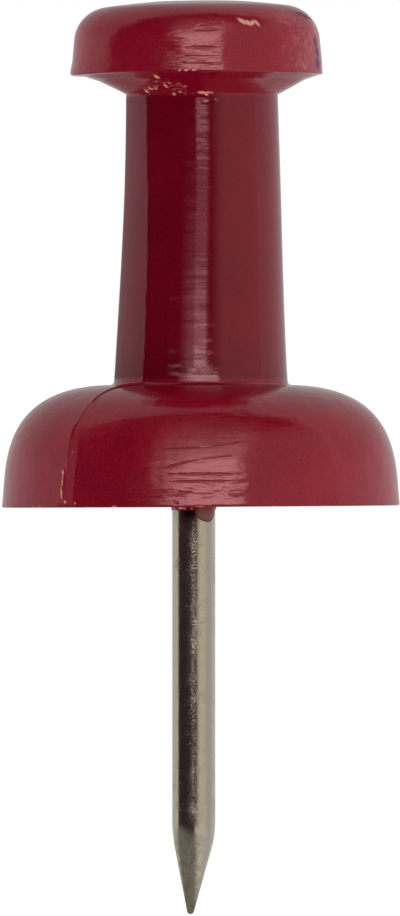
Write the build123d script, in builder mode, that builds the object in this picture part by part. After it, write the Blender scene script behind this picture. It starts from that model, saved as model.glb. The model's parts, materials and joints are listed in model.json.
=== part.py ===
"""Push pin: a plastic handle moulded over a pointed steel needle.

Millimetres, +Z up. The origin is on the handle's axis, in the plane of the flange's
underside, which is the plane that rests on the board. The needle points down.
"""

import math
import os

from build123d import *

# Flange: the wide foot of the handle
flange_diameter = 10.0
flange_height = 3.05  # underside to the foot of the stem
flange_wall_lean = 0.136  # how far the wall leans in over its side reach
flange_side_reach = 0.856  # how far the dome holds that lean above the rim
flange_crown_reach = 3.0  # how far the dome stays level out from the stem
flange_rim_round = 0.04
land_width = 0.9  # flat ring at the rim, which bears on the board
hub_diameter = 2.8  # flat ring around the needle
dish_depth = 0.2  # shallow moulding sink between the two flat rings

# Stem: the waisted grip between flange and cap
stem_base_diameter = 4.35
stem_top_diameter = 3.81
stem_length = 7.29
stem_hollow = 0.036  # how far the stem's side curves in from a straight taper
stem_foot_round = 0.1

# Neck: the short cone that carries the cap, with a flatter flare under the cap's rim
neck_height = 0.36
neck_diameter = 5.16  # where the cone meets the flare
neck_crease_round = 0.06
flare_height = 0.14
flare_diameter = 5.98  # where the flare meets the underside of the cap

# Cap: the thumb button, formed by its own mould plate and so a little off the axis
cap_diameter = 6.32
cap_height = 1.86
cap_crown_radius = 18.0
cap_draft = 5.0  # degrees, narrowing upwards
cap_edge_round = 0.9
cap_rim_round = 0.03
cap_offset = -0.105

# Needle: wire with a ground point, ring barbs and an upset head inside the handle
needle_diameter = 1.08
needle_projection = 10.23
needle_offset = -0.178  # the needle plate of the mould is off the axis too
point_half_angle = 13.2  # degrees
tip_radius = 0.09
barb_count = 6
barb_pitch = 1.05
barb_depth = 0.1
head_diameter = 1.75
head_thickness = 0.4
head_edge_round = 0.08

flange_radius = flange_diameter / 2
stem_base_radius = stem_base_diameter / 2
stem_top_radius = stem_top_diameter / 2
neck_radius = neck_diameter / 2
flare_radius = flare_diameter / 2
cap_radius = cap_diameter / 2
needle_radius = needle_diameter / 2
head_radius = head_diameter / 2

stem_top_z = flange_height + stem_length
neck_top_z = stem_top_z + neck_height
cap_seat_z = neck_top_z + flare_height
body_height = cap_seat_z + cap_height

# The needle and the cap each stand on an axis of their own, beside the handle's axis.
needle_plane = Plane(origin=(needle_offset, 0, 0), x_dir=(1, 0, 0), z_dir=(0, -1, 0))
needle_axis = Axis((needle_offset, 0, 0), (0, 0, 1))
cap_plane = Plane(origin=(cap_offset, 0, 0), x_dir=(1, 0, 0), z_dir=(0, -1, 0))
cap_axis = Axis((cap_offset, 0, 0), (0, 0, 1))


def circles_at(part, height, radius):
    """The circular edges of a part that lie at this height and have this radius."""
    return (
        part.edges()
        .filter_by(GeomType.CIRCLE)
        .filter_by(lambda edge: math.isclose(edge.center().Z, height, abs_tol=1e-4))
        .filter_by(lambda edge: math.isclose(edge.radius, radius, abs_tol=1e-4))
    )


# Needle: rounded tip, ground cone, drawn wire, ring barbs, head
point_angle = math.radians(point_half_angle)
tip_centre_z = tip_radius - needle_projection
cone_foot = (
    tip_radius * math.cos(point_angle),
    tip_centre_z - tip_radius * math.sin(point_angle),
)
cone_top_z = cone_foot[1] + (needle_radius - cone_foot[0]) / math.tan(point_angle)
head_base_z = barb_count * barb_pitch
needle_top_z = head_base_z + head_thickness

with BuildPart() as needle:
    with BuildSketch(needle_plane) as needle_profile:
        with BuildLine() as needle_outline:
            CenterArc((0, tip_centre_z), tip_radius, -90, 90 - point_half_angle)
            Line(cone_foot, (needle_radius, cone_top_z))
            Line((needle_radius, cone_top_z), (needle_radius, 0))
            # Each barb narrows upwards and ends in a ledge that faces down, against a pull.
            for barb in range(barb_count):
                barb_foot = (needle_radius, barb * barb_pitch)
                barb_waist = (needle_radius - barb_depth, (barb + 1) * barb_pitch)
                Line(barb_foot, barb_waist)
                Line(barb_waist, (needle_radius, (barb + 1) * barb_pitch))
            Line((needle_radius, head_base_z), (head_radius, head_base_z))
            Line((head_radius, head_base_z), (head_radius, needle_top_z))
            Line((head_radius, needle_top_z), (0, needle_top_z))
            Line((0, needle_top_z), (0, -needle_projection))
        make_face()
    revolve(axis=needle_axis)
    fillet(circles_at(needle, needle_top_z, head_radius), head_edge_round)
needle.part.label = "needle"

# Handle: flange, stem and neck turned about the handle's axis, with the cap on top
with BuildPart() as handle:
    with BuildSketch(Plane.XZ) as turned_profile:
        with BuildLine() as turned_outline:
            underside = Line((0, 0), (flange_radius, 0))
            dome = Bezier(
                underside @ 1,
                (flange_radius - flange_wall_lean, flange_side_reach),
                (stem_base_radius + flange_crown_reach, flange_height),
                (stem_base_radius, flange_height),
            )
            stem_side = SagittaArc(dome @ 1, (stem_top_radius, stem_top_z), stem_hollow)
            neck_side = Line(stem_side @ 1, (neck_radius, neck_top_z))
            flare_side = Line(neck_side @ 1, (flare_radius, cap_seat_z))
            neck_top = Line(flare_side @ 1, (0, cap_seat_z))
            Line(neck_top @ 1, underside @ 0)
        make_face()
    revolve(axis=Axis.Z)

    with BuildSketch(cap_plane) as cap_profile:
        with BuildLine() as cap_outline:
            cap_side_radius = cap_radius - cap_height * math.tan(math.radians(cap_draft))
            crown_drop = cap_crown_radius - math.sqrt(cap_crown_radius**2 - cap_side_radius**2)
            cap_seat = Line((0, cap_seat_z), (cap_radius, cap_seat_z))
            cap_side = Line(cap_seat @ 1, (cap_side_radius, body_height - crown_drop))
            cap_crown = RadiusArc(cap_side @ 1, (0, body_height), -cap_crown_radius)
            Line(cap_crown @ 1, cap_seat @ 0)
        make_face()
    revolve(axis=cap_axis)

    fillet(circles_at(handle, body_height - crown_drop, cap_side_radius), cap_edge_round)
    fillet(circles_at(handle, cap_seat_z, cap_radius), cap_rim_round)
    fillet(circles_at(handle, stem_top_z, stem_top_radius), neck_crease_round)
    fillet(circles_at(handle, flange_height, stem_base_radius), stem_foot_round)
    fillet(circles_at(handle, 0, flange_radius), flange_rim_round)

    # Moulding sink in the underside, between the hub and the land at the rim
    dish_inner = hub_diameter / 2
    dish_outer = flange_radius - land_width
    with BuildSketch(Plane.XZ) as dish_profile:
        with BuildLine() as dish_outline:
            dish_mouth = Line((dish_inner, 0), (dish_outer, 0))
            ThreePointArc(dish_mouth @ 1, ((dish_inner + dish_outer) / 2, dish_depth), dish_mouth @ 0)
        make_face()
    revolve(axis=Axis.Z, mode=Mode.SUBTRACT)

    # The plastic is moulded straight onto the needle, so its seat is the needle's own form.
    add(needle.part, mode=Mode.SUBTRACT)
handle.part.label = "handle"

os.makedirs("parts", exist_ok=True)
export_step(handle.part, "parts/handle.step")
export_step(needle.part, "parts/needle.step")
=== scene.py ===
"""Looks of a push pin: a crimson plastic handle moulded over a nickel plated steel needle.

Sizes are in millimetres and become metres where a mesh or a light is made. Azimuths are degrees
round the handle's axis from the front (-Y), growing towards +X. Heights are above the flange's
underside, as in the construction model.
"""

import json
import logging
import math
from collections.abc import Callable, Iterator, Sequence
from contextlib import contextmanager
from dataclasses import dataclass
from enum import Enum, IntEnum

import bpy
import numpy as np
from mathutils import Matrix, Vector


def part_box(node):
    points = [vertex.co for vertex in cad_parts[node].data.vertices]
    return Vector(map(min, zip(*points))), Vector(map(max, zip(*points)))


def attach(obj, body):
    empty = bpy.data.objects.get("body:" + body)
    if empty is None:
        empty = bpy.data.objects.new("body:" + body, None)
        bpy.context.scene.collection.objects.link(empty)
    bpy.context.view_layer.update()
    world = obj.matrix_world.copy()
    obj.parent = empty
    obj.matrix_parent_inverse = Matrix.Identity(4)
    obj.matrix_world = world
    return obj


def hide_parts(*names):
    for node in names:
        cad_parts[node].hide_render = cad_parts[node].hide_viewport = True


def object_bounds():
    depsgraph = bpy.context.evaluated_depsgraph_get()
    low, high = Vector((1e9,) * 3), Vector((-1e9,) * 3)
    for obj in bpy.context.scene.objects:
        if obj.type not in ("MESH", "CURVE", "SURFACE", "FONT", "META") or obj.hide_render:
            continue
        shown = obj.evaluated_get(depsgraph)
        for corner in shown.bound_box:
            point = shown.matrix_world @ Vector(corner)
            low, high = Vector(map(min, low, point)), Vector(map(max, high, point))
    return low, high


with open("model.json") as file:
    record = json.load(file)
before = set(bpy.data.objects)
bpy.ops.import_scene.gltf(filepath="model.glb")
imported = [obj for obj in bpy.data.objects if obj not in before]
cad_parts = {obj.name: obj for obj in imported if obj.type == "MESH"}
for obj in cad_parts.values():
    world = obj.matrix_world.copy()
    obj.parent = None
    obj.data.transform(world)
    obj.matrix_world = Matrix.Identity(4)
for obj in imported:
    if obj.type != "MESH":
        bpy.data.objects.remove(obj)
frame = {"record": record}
CAD_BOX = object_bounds()

LOG = logging.getLogger("push_pin")
MM = 0.001

# Room left below the top of the construction model, so that no bump passes it
BOX_MARGIN = 0.003
# Millimetres within which a vertex counts as lying at a place
NEAR = 1e-3
# Millimetres within which vertices are merged
MERGE = 1e-4
# Share from which a value counts as full
ALMOST = 0.99
# Keeps a length from being zero
TINY = 1e-9
# Degrees between faces up to which their edge is shaded smooth
SMOOTH_ANGLE = 40
# Knots of the seam's random lines before they repeat
SEAM_KNOTS = 256
RIDGE_KNOTS = 128
# How much the finer layers of a noise count, and how many a mark's edge has
CLOUD_ROUGHNESS = 0.6
PATCH_ROUGHNESS = 0.5
PATCH_DETAIL = 3.0

Point = tuple[float, float]
Colour = tuple[float, float, float]
Socket = bpy.types.NodeSocket


class Slot(Enum):
    """Material slots of the record."""

    PLASTIC = "red_plastic"
    STEEL = "nickel_steel"


class Draw(IntEnum):
    """Starts of the random draws. The back seam takes the number after the front one's."""

    SEAM_WANDER = 11
    SEAM_RIDGE = 21
    RIM = 41
    LUMPS = 51
    COLLAR = 61


# Outlines


def line(start: Point, end: Point, steps: int) -> list[Point]:
    """Points along a straight line, without its start.

    Args:
        start: First point, radius and height.
        end: Last point.
        steps: Number of points returned.

    Returns:
        The points, the last of which is the end.
    """
    shares = [step / steps for step in range(1, steps + 1)]
    return [(start[0] + (end[0] - start[0]) * s, start[1] + (end[1] - start[1]) * s) for s in shares]


def arc(centre: Point, radius: float, first: float, last: float, steps: int) -> list[Point]:
    """Points along a circular arc, both ends included.

    Args:
        centre: Centre of the circle, radius and height.
        radius: Radius of the circle.
        first: Angle of the first point in degrees, from outwards to up.
        last: Angle of the last point.
        steps: Number of chords.

    Returns:
        The points, one more than the chords.
    """
    angles = [math.radians(first + (last - first) * step / steps) for step in range(steps + 1)]
    return [(centre[0] + radius * math.cos(a), centre[1] + radius * math.sin(a)) for a in angles]


def bezier(corners: Sequence[Point], steps: int) -> list[Point]:
    """Points along a cubic curve, both ends included.

    Args:
        corners: Start, its handle, the end's handle and the end.
        steps: Number of chords.

    Returns:
        The points, one more than the chords.
    """
    points = []
    for step in range(steps + 1):
        t = step / steps
        shares = ((1 - t) ** 3, 3 * t * (1 - t) ** 2, 3 * t**2 * (1 - t), t**3)
        points.append(tuple(sum(s * c[i] for s, c in zip(shares, corners)) for i in (0, 1)))
    return points


# Modelling with operators


@contextmanager
def editing(piece: bpy.types.Object) -> Iterator[None]:
    """Opens a piece in edit mode, alone, and closes it again.

    Args:
        piece: The object to edit.
    """
    bpy.ops.object.select_all(action="DESELECT")
    piece.select_set(True)
    bpy.context.view_layer.objects.active = piece
    bpy.ops.object.mode_set(mode="EDIT")
    try:
        yield
    finally:
        bpy.ops.object.mode_set(mode="OBJECT")


def start_outline(name: str, points: Sequence[Point], axis_x: float) -> bpy.types.Object:
    """Draws an outline to the right of an axis by extruding one vertex from point to point.

    Args:
        name: Name of the new piece.
        points: Radius and height of each point.
        axis_x: Place of the axis along X.

    Returns:
        The piece, an open chain of edges in the XZ plane.
    """
    bpy.ops.object.select_all(action="DESELECT")
    bpy.ops.mesh.primitive_plane_add(size=MM)
    piece = bpy.context.object
    piece.name = piece.data.name = name
    with editing(piece):
        bpy.ops.mesh.select_all(action="SELECT")
        bpy.ops.mesh.merge(type="CENTER")
        radius, height = points[0]
        bpy.ops.transform.translate(value=((axis_x + radius) * MM, 0, height * MM))
        for here, there in zip(points, points[1:]):
            step = ((there[0] - here[0]) * MM, 0, (there[1] - here[1]) * MM)
            bpy.ops.mesh.extrude_vertices_move(TRANSFORM_OT_translate={"value": step})
    return piece


def spin_outline(piece: bpy.types.Object, axis_x: float, spans: Sequence[tuple[float, int]]) -> None:
    """Spins an outline once round its axis and closes the seam and the poles.

    Args:
        piece: The outline.
        axis_x: Place of the axis along X.
        spans: Angle in degrees and number of steps of each stretch of the turn.
    """
    with editing(piece):
        bpy.ops.mesh.select_all(action="SELECT")
        for angle, steps in spans:
            bpy.ops.mesh.spin(
                steps=steps, angle=math.radians(angle), center=(axis_x * MM, 0, 0), axis=(0, 0, 1)
            )
        bpy.ops.mesh.select_all(action="SELECT")
        bpy.ops.mesh.remove_doubles(threshold=MERGE * MM)
        bpy.ops.mesh.normals_make_consistent(inside=False)


@dataclass
class Surface:
    """Where each vertex of a piece lies round an axis."""

    piece: bpy.types.Object
    axis_x: float = 0.0

    def __post_init__(self) -> None:
        """Reads the vertices."""
        flat = np.empty(len(self.piece.data.vertices) * 3)
        self.piece.data.vertices.foreach_get("co", flat)
        x, y, self.height = (flat.reshape(-1, 3) / MM).T
        self.azimuth = np.degrees(np.arctan2(x - self.axis_x, -y))
        self.radius = np.hypot(x - self.axis_x, y)

    def arc_from(self, azimuth: np.ndarray | float) -> np.ndarray:
        """Signed distance round the surface from an azimuth, in millimetres."""
        turn = (self.azimuth - azimuth + 180) % 360 - 180
        return np.radians(turn) * self.radius

    def select(self, chosen: np.ndarray) -> None:
        """Leaves only the chosen vertices selected for the next edit.

        Args:
            chosen: Whether each vertex is selected.
        """
        mesh = self.piece.data
        mesh.polygons.foreach_set("select", np.zeros(len(mesh.polygons), bool))
        mesh.edges.foreach_set("select", np.zeros(len(mesh.edges), bool))
        mesh.vertices.foreach_set("select", chosen)
        mesh.update()


def displace(piece: bpy.types.Object, rise: np.ndarray, direction: str = "NORMAL") -> None:
    """Moves a surface with two displace modifiers, one each way.

    Args:
        piece: The object to change.
        rise: Millimetres at each vertex, positive outwards or up.
        direction: NORMAL to move along the normals, or the name of an axis.
    """
    for sign in (1, -1):
        depth = np.clip(sign * rise, 0, None)
        deepest = float(depth.max())
        if deepest == 0:
            continue
        group = piece.vertex_groups.new(name="relief")
        for index in np.flatnonzero(depth):
            group.add([int(index)], float(depth[index]) / deepest, "REPLACE")
        relief = piece.modifiers.new("relief", "DISPLACE")
        relief.vertex_group = group.name
        relief.direction = direction
        relief.mid_level = 0
        relief.strength = sign * deepest * MM
        bpy.context.view_layer.objects.active = piece
        bpy.ops.object.modifier_apply(modifier=relief.name)
        piece.vertex_groups.clear()


def store(piece: bpy.types.Object, name: str, values: np.ndarray) -> None:
    """Keeps one number per vertex on a piece, for its finish to read.

    Args:
        piece: The object.
        name: Name of the attribute.
        values: One number per vertex.
    """
    attribute = piece.data.attributes.new(name, "FLOAT", "POINT")
    attribute.data.foreach_set("value", values.astype(np.float32))


def ragged(places: np.ndarray, knots: int, seed: int) -> np.ndarray:
    """Smooth random numbers from 0 to 1 along a line that repeats.

    Args:
        places: Where along the line, in knots.
        knots: How many knots before the line repeats.
        seed: Start of the random draw.

    Returns:
        One number per place.
    """
    heights = np.random.default_rng(seed).random(knots)
    low = np.floor(places).astype(int)
    share = places - low
    share = share * share * (3 - 2 * share)
    return heights[low % knots] * (1 - share) + heights[(low + 1) % knots] * share


def ragged_turn(azimuth: np.ndarray, turn: float, seed: int) -> np.ndarray:
    """Smooth random numbers from 0 to 1 round an axis.

    Args:
        azimuth: Where round the axis, in degrees.
        turn: Degrees from one knot to the next.
        seed: Start of the random draw.

    Returns:
        One number per place.
    """
    return ragged((azimuth + 180) / turn, math.ceil(round(360 / turn, 6)), seed)


def bump_shape(distance: np.ndarray) -> np.ndarray:
    """A round bump: 1 in the middle and 0 from a distance of 1 outwards."""
    return np.clip(1 - distance**2, 0, None) ** 2


# Shader nodes


class Bench:
    """Lays out nodes in one shader tree."""

    def __init__(self, tree: bpy.types.NodeTree) -> None:
        """Takes the tree to work in."""
        self.tree = tree

    def node(self, kind: str, inputs: dict | None = None, **settings: object) -> bpy.types.Node:
        """Adds a node.

        Args:
            kind: Blender's name of the node type.
            inputs: Value or output socket for each named or numbered input.
            settings: Properties of the node itself.

        Returns:
            The new node.
        """
        made = self.tree.nodes.new(kind)
        for name, value in settings.items():
            setattr(made, name, value)
        for key, value in (inputs or {}).items():
            self.feed(value, made.inputs[key])
        return made

    def feed(self, value: object, socket: Socket) -> None:
        """Links an output to a socket, or sets the socket's own value.

        Args:
            value: The output, or the plain value.
            socket: The input that takes it.
        """
        if isinstance(value, bpy.types.NodeSocket):
            self.tree.links.new(value, socket)
        else:
            socket.default_value = value

    def math(self, operation: str, *values: Socket | float) -> Socket:
        """Adds a math node and returns its result."""
        return self.node("ShaderNodeMath", dict(enumerate(values)), operation=operation).outputs[0]

    def plus(self, first: Socket | float, second: Socket | float) -> Socket:
        """Returns the sum of two values."""
        return self.math("ADD", first, second)

    def minus(self, first: Socket | float, second: Socket | float) -> Socket:
        """Returns the first value less the second."""
        return self.math("SUBTRACT", first, second)

    def times(self, first: Socket | float, second: Socket | float) -> Socket:
        """Returns the product of two values."""
        return self.math("MULTIPLY", first, second)

    def over(self, first: Socket | float, second: Socket | float) -> Socket:
        """Returns the first value divided by the second."""
        return self.math("DIVIDE", first, second)

    def most(self, first: Socket | float, second: Socket | float) -> Socket:
        """Returns the larger of two values."""
        return self.math("MAXIMUM", first, second)

    def vector(self, operation: str, *values: object) -> Socket:
        """Adds a vector math node and returns its vector."""
        return self.node("ShaderNodeVectorMath", dict(enumerate(values)), operation=operation).outputs[0]

    def split(self, vector: Socket) -> Sequence[Socket]:
        """Returns the X, Y and Z of a vector."""
        return tuple(self.node("ShaderNodeSeparateXYZ", {0: vector}).outputs)

    def attribute(self, name: str) -> Socket:
        """Returns the number that a piece keeps at its vertices under a name."""
        return self.node("ShaderNodeAttribute", attribute_name=name).outputs["Fac"]

    def noise(
        self, vector: Socket, scale: Socket | float, detail: Socket | float, roughness: float
    ) -> Socket:
        """Adds a noise texture and returns its value."""
        inputs = {"Vector": vector, "Scale": scale, "Detail": detail, "Roughness": roughness}
        return self.node("ShaderNodeTexNoise", inputs).outputs[0]

    def smooth(self, value: Socket | float, low: Socket | float, high: Socket | float) -> Socket:
        """Returns 0 below low and 1 above high, with a smooth step between."""
        inputs = {"Value": value, "From Min": low, "From Max": high}
        return self.node("ShaderNodeMapRange", inputs, interpolation_type="SMOOTHSTEP").outputs[0]

    def span(self, value: Socket, low: Socket | float, high: Socket | float) -> Socket:
        """Spreads a mask from 0 to 1 over a range of values."""
        inputs = {"Value": value, "To Min": low, "To Max": high}
        return self.node("ShaderNodeMapRange", inputs).outputs[0]

    def mix(self, share: Socket | float, first: object, second: object) -> Socket:
        """Mixes two colours.

        Args:
            share: Share of the second, from 0 to 1.
            first: Colour at 0, or its output.
            second: Colour at 1.

        Returns:
            The mixed colour.
        """
        made = self.node("ShaderNodeMix", data_type="RGBA")
        self.feed(share, made.inputs[0])
        for value, socket in ((first, made.inputs[6]), (second, made.inputs[7])):
            self.feed((*value, 1.0) if isinstance(value, tuple) else value, socket)
        return made.outputs[2]

    def bump(self, height: Socket, depth: float, under: Socket | None = None) -> Socket:
        """Adds a bump, on top of another if one is given.

        Args:
            height: Its height, from 0 to 1.
            depth: Millimetres that a height of 1 stands for.
            under: Normal of the bump below it.

        Returns:
            The new normal.
        """
        inputs = {"Height": height, "Distance": depth * MM, "Strength": 1.0}
        if under is not None:
            inputs["Normal"] = under
        return self.node("ShaderNodeBump", inputs).outputs[0]


@dataclass(frozen=True)
class Effect:
    """A surface effect that several finishes share, kept as one node group.

    Attributes:
        name: Name of the group.
        inputs: Names of its inputs.
        output: Name of its output.
        wire: Builds the inside from the bench and the input sockets, and returns the output.
    """

    name: str
    inputs: tuple[str, ...]
    output: str
    wire: Callable[[Bench, dict[str, Socket]], Socket]

    def tree(self) -> bpy.types.NodeTree:
        """Builds the group the first time that it is asked for.

        Returns:
            The group's tree.
        """
        made = bpy.data.node_groups.get(self.name)
        if made:
            return made
        made = bpy.data.node_groups.new(self.name, "ShaderNodeTree")
        for name in self.inputs:
            made.interface.new_socket(name, in_out="INPUT", socket_type="NodeSocketFloat")
        made.interface.new_socket(self.output, in_out="OUTPUT", socket_type="NodeSocketFloat")
        bench = Bench(made)
        given = dict(bench.node("NodeGroupInput").outputs.items())
        bench.feed(self.wire(bench, given), bench.node("NodeGroupOutput").inputs[0])
        return made

    def on(self, bench: Bench, **values: Socket | float) -> Socket:
        """Places the effect in a finish.

        Args:
            bench: The finish's bench.
            values: A number or socket for each input, with _ for a space.

        Returns:
            The effect's output.
        """
        inputs = {name.replace("_", " "): value for name, value in values.items()}
        return bench.node("ShaderNodeGroup", inputs, node_tree=self.tree()).outputs[0]


def place_in_mm(bench: Bench, axis_x: Socket | float) -> tuple[Socket, Socket, Socket, Socket]:
    """Reads the place on the piece from an upright axis.

    Args:
        bench: The tree to work in.
        axis_x: Place of the axis along X in millimetres.

    Returns:
        The vector from the axis, and its X, Y and Z.
    """
    here = bench.node("ShaderNodeTexCoord").outputs["Object"]
    shift = bench.node("ShaderNodeCombineXYZ", {"X": axis_x}).outputs[0]
    here = bench.vector("SUBTRACT", bench.vector("MULTIPLY", here, (1 / MM,) * 3), shift)
    return here, *bench.split(here)


def wire_streaks(bench: Bench, given: dict[str, Socket]) -> Socket:
    """Builds long thin marks that run round an axis or along it.

    Args:
        bench: The group's bench.
        given: The group's inputs.

    Returns:
        The depth of the marks, from 0 to 1.
    """
    _, x, y, z = place_in_mm(bench, given["Axis X"])
    radius = bench.math("SQRT", bench.plus(bench.times(x, x), bench.times(y, y)))
    radius = bench.most(radius, NEAR)
    along = bench.minus(z, bench.times(radius, given["Lean"]))
    parts = {
        "X": bench.times(bench.over(x, radius), given["Around"]),
        "Y": bench.times(bench.over(y, radius), given["Around"]),
        "Z": bench.plus(bench.times(along, given["Along"]), given["Seed"]),
    }
    vector = bench.node("ShaderNodeCombineXYZ", parts).outputs[0]
    noise = bench.noise(vector, 1.0, given["Detail"], CLOUD_ROUGHNESS)
    return bench.smooth(noise, given["Low"], given["High"])


def wire_mottle(bench: Bench, given: dict[str, Socket]) -> Socket:
    """Builds an uneven cloud.

    Args:
        bench: The group's bench.
        given: The group's inputs.

    Returns:
        The cloud's mask, from 0 to 1.
    """
    here, *_ = place_in_mm(bench, given["Seed"])
    noise = bench.noise(here, given["Scale"], given["Detail"], CLOUD_ROUGHNESS)
    return bench.smooth(noise, given["Low"], given["High"])


def wire_patch(bench: Bench, given: dict[str, Socket]) -> Socket:
    """Builds one ragged spot or line at a place on a turned surface.

    Args:
        bench: The group's bench.
        given: The group's inputs.

    Returns:
        The spot's mask, from 0 to 1.
    """
    here, x, y, z = place_in_mm(bench, given["Axis X"])
    turn = bench.math("DEGREES", bench.math("ARCTAN2", x, bench.times(y, -1.0)))
    turn = bench.minus(turn, given["Azimuth"])
    middle = bench.plus(given["Height"], bench.times(turn, given["Tilt"]))
    across = bench.over(turn, given["Half width"])
    up = bench.over(bench.minus(z, middle), given["Half height"])
    distance = bench.math("SQRT", bench.plus(bench.times(across, across), bench.times(up, up)))
    noise = bench.noise(here, given["Scale"], PATCH_DETAIL, PATCH_ROUGHNESS)
    rag = bench.times(bench.minus(noise, 0.5), given["Ragged"])
    beyond = bench.smooth(bench.plus(distance, rag), bench.minus(1.0, given["Soft"]), 1.0)
    return bench.minus(1.0, beyond)


STREAKS = Effect(
    "Streaks",
    ("Axis X", "Around", "Along", "Lean", "Detail", "Seed", "Low", "High"),
    "Depth",
    wire_streaks,
)
MOTTLE = Effect("Mottle", ("Scale", "Detail", "Seed", "Low", "High"), "Mask", wire_mottle)
PATCH = Effect(
    "Patch",
    ("Axis X", "Azimuth", "Height", "Half width", "Half height", "Tilt", "Scale", "Ragged", "Soft"),
    "Mask",
    wire_patch,
)


@dataclass(frozen=True)
class Cloud:
    """An uneven cloud over a piece.

    Attributes:
        scale: How fine it is, in lumps per millimetre.
        detail: How many finer layers it has.
        seed: Place in the noise, so that no two clouds are alike.
        low: Noise up to which the mask is 0.
        high: Noise from which it is 1.
    """

    scale: float
    detail: float
    seed: float
    low: float
    high: float

    def mask(self, bench: Bench) -> Socket:
        """Returns the cloud's mask."""
        sizes = {"Scale": self.scale, "Detail": self.detail, "Seed": self.seed}
        return MOTTLE.on(bench, **sizes, Low=self.low, High=self.high)


@dataclass(frozen=True)
class Grooves:
    """Long thin marks round an axis or along it.

    Attributes:
        around: How often they change round the axis.
        along: How often they change along it, per millimetre.
        detail: How many finer layers they have.
        seed: Place in the noise.
        low: Noise up to which the depth is 0.
        high: Noise from which it is 1.
        lean: How far they climb with the radius.
    """

    around: float
    along: float
    detail: float
    seed: float
    low: float
    high: float
    lean: float = 0.0

    def mask(self, bench: Bench, axis_x: float = 0.0) -> Socket:
        """Returns the depth of the marks, measured round an upright axis."""
        pitch = {"Around": self.around, "Along": self.along, "Lean": self.lean, "Detail": self.detail}
        return STREAKS.on(bench, Axis_X=axis_x, **pitch, Seed=self.seed, Low=self.low, High=self.high)


def new_finish(name: str) -> tuple[bpy.types.Material, Bench, bpy.types.Node]:
    """Starts a material.

    Args:
        name: Name of the material.

    Returns:
        The material, a bench for its tree and its shader node.
    """
    material = bpy.data.materials.new(name)
    material.use_nodes = True
    bench = Bench(material.node_tree)
    return material, bench, material.node_tree.nodes["Principled BSDF"]


class Wear(Enum):
    """What use and handling have left on a piece, with painted highlights among the rubs and chips, and a
    darker patch at the needle's top.
    """

    GROOVE = "groove"
    CHIP = "chip_and_highlight"
    RUB = "rub_and_highlight"
    INK = "ink"
    TARNISH = "tarnish"
    DIRT = "collar_darkening"


@dataclass(frozen=True)
class Mark:
    """One mark on a piece.

    Attributes:
        wear: What kind of mark it is.
        azimuth: Place of its middle round the axis in degrees.
        height: Height of its middle above the underside.
        half_width: Half its size round the axis in degrees.
        half_height: Half its size up the surface.
        tilt: Rise in millimetres per degree round the axis.
        ragged: How uneven its edge is.
        soft: Share of its size over which it fades out.
        strength: How strong it is at its middle, from 0 to 1.
        fine: How fine the unevenness is, in bumps per millimetre.
    """

    wear: Wear
    azimuth: float
    height: float
    half_width: float
    half_height: float
    tilt: float = 0.0
    ragged: float = 0.9
    soft: float = 0.8
    strength: float = 1.0
    fine: float = 7.0

    def mask(self, bench: Bench, axis_x: float) -> Socket:
        """Lays out the mark round an upright axis.

        Args:
            bench: The finish's bench.
            axis_x: Place of the axis along X in millimetres.

        Returns:
            The mark's mask, from 0 to 1.
        """
        mask = PATCH.on(
            bench,
            Axis_X=axis_x,
            Azimuth=self.azimuth,
            Height=self.height,
            Half_width=self.half_width,
            Half_height=self.half_height,
            Tilt=self.tilt,
            Scale=self.fine,
            Ragged=self.ragged,
            Soft=self.soft,
        )
        return mask if self.strength == 1.0 else bench.times(mask, self.strength)


PLASTIC_ATTRIBUTES = ("flash", "film", "edge", "crack", "sleek_shaded", "seam", "dull")
PLASTIC_WEAR = (Wear.GROOVE, Wear.CHIP, Wear.RUB, Wear.INK)

# Scratches in the flange's front
FLANGE_MARKS = (
    Mark(Wear.GROOVE, -6.0, 1.462, 8.0, 0.026, 0.0042),
    Mark(Wear.GROOVE, 8.4, 1.581, 8.0, 0.026, 0.0126),
    Mark(Wear.GROOVE, -6.1, 1.079, 7.0, 0.036, 0.0188),
    Mark(Wear.GROOVE, 4.5, 1.236, 6.0, 0.026, 0.0097),
    Mark(Wear.GROOVE, 1.5, 0.816, 13.5, 0.050),
    Mark(Wear.GROOVE, 0.0, 0.640, 12.0, 0.042, 0.0008),
    Mark(Wear.GROOVE, -4.5, 0.371, 2.8, 0.035),
    Mark(Wear.GROOVE, 0.6, 0.339, 4.0, 0.018, 0.0, 0.9, 0.8, 0.6),
    Mark(Wear.GROOVE, 10.8, 0.314, 3.4, 0.032),
    Mark(Wear.GROOVE, -7.2, 0.126, 1.3, 0.050, -0.04),
)
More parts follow.
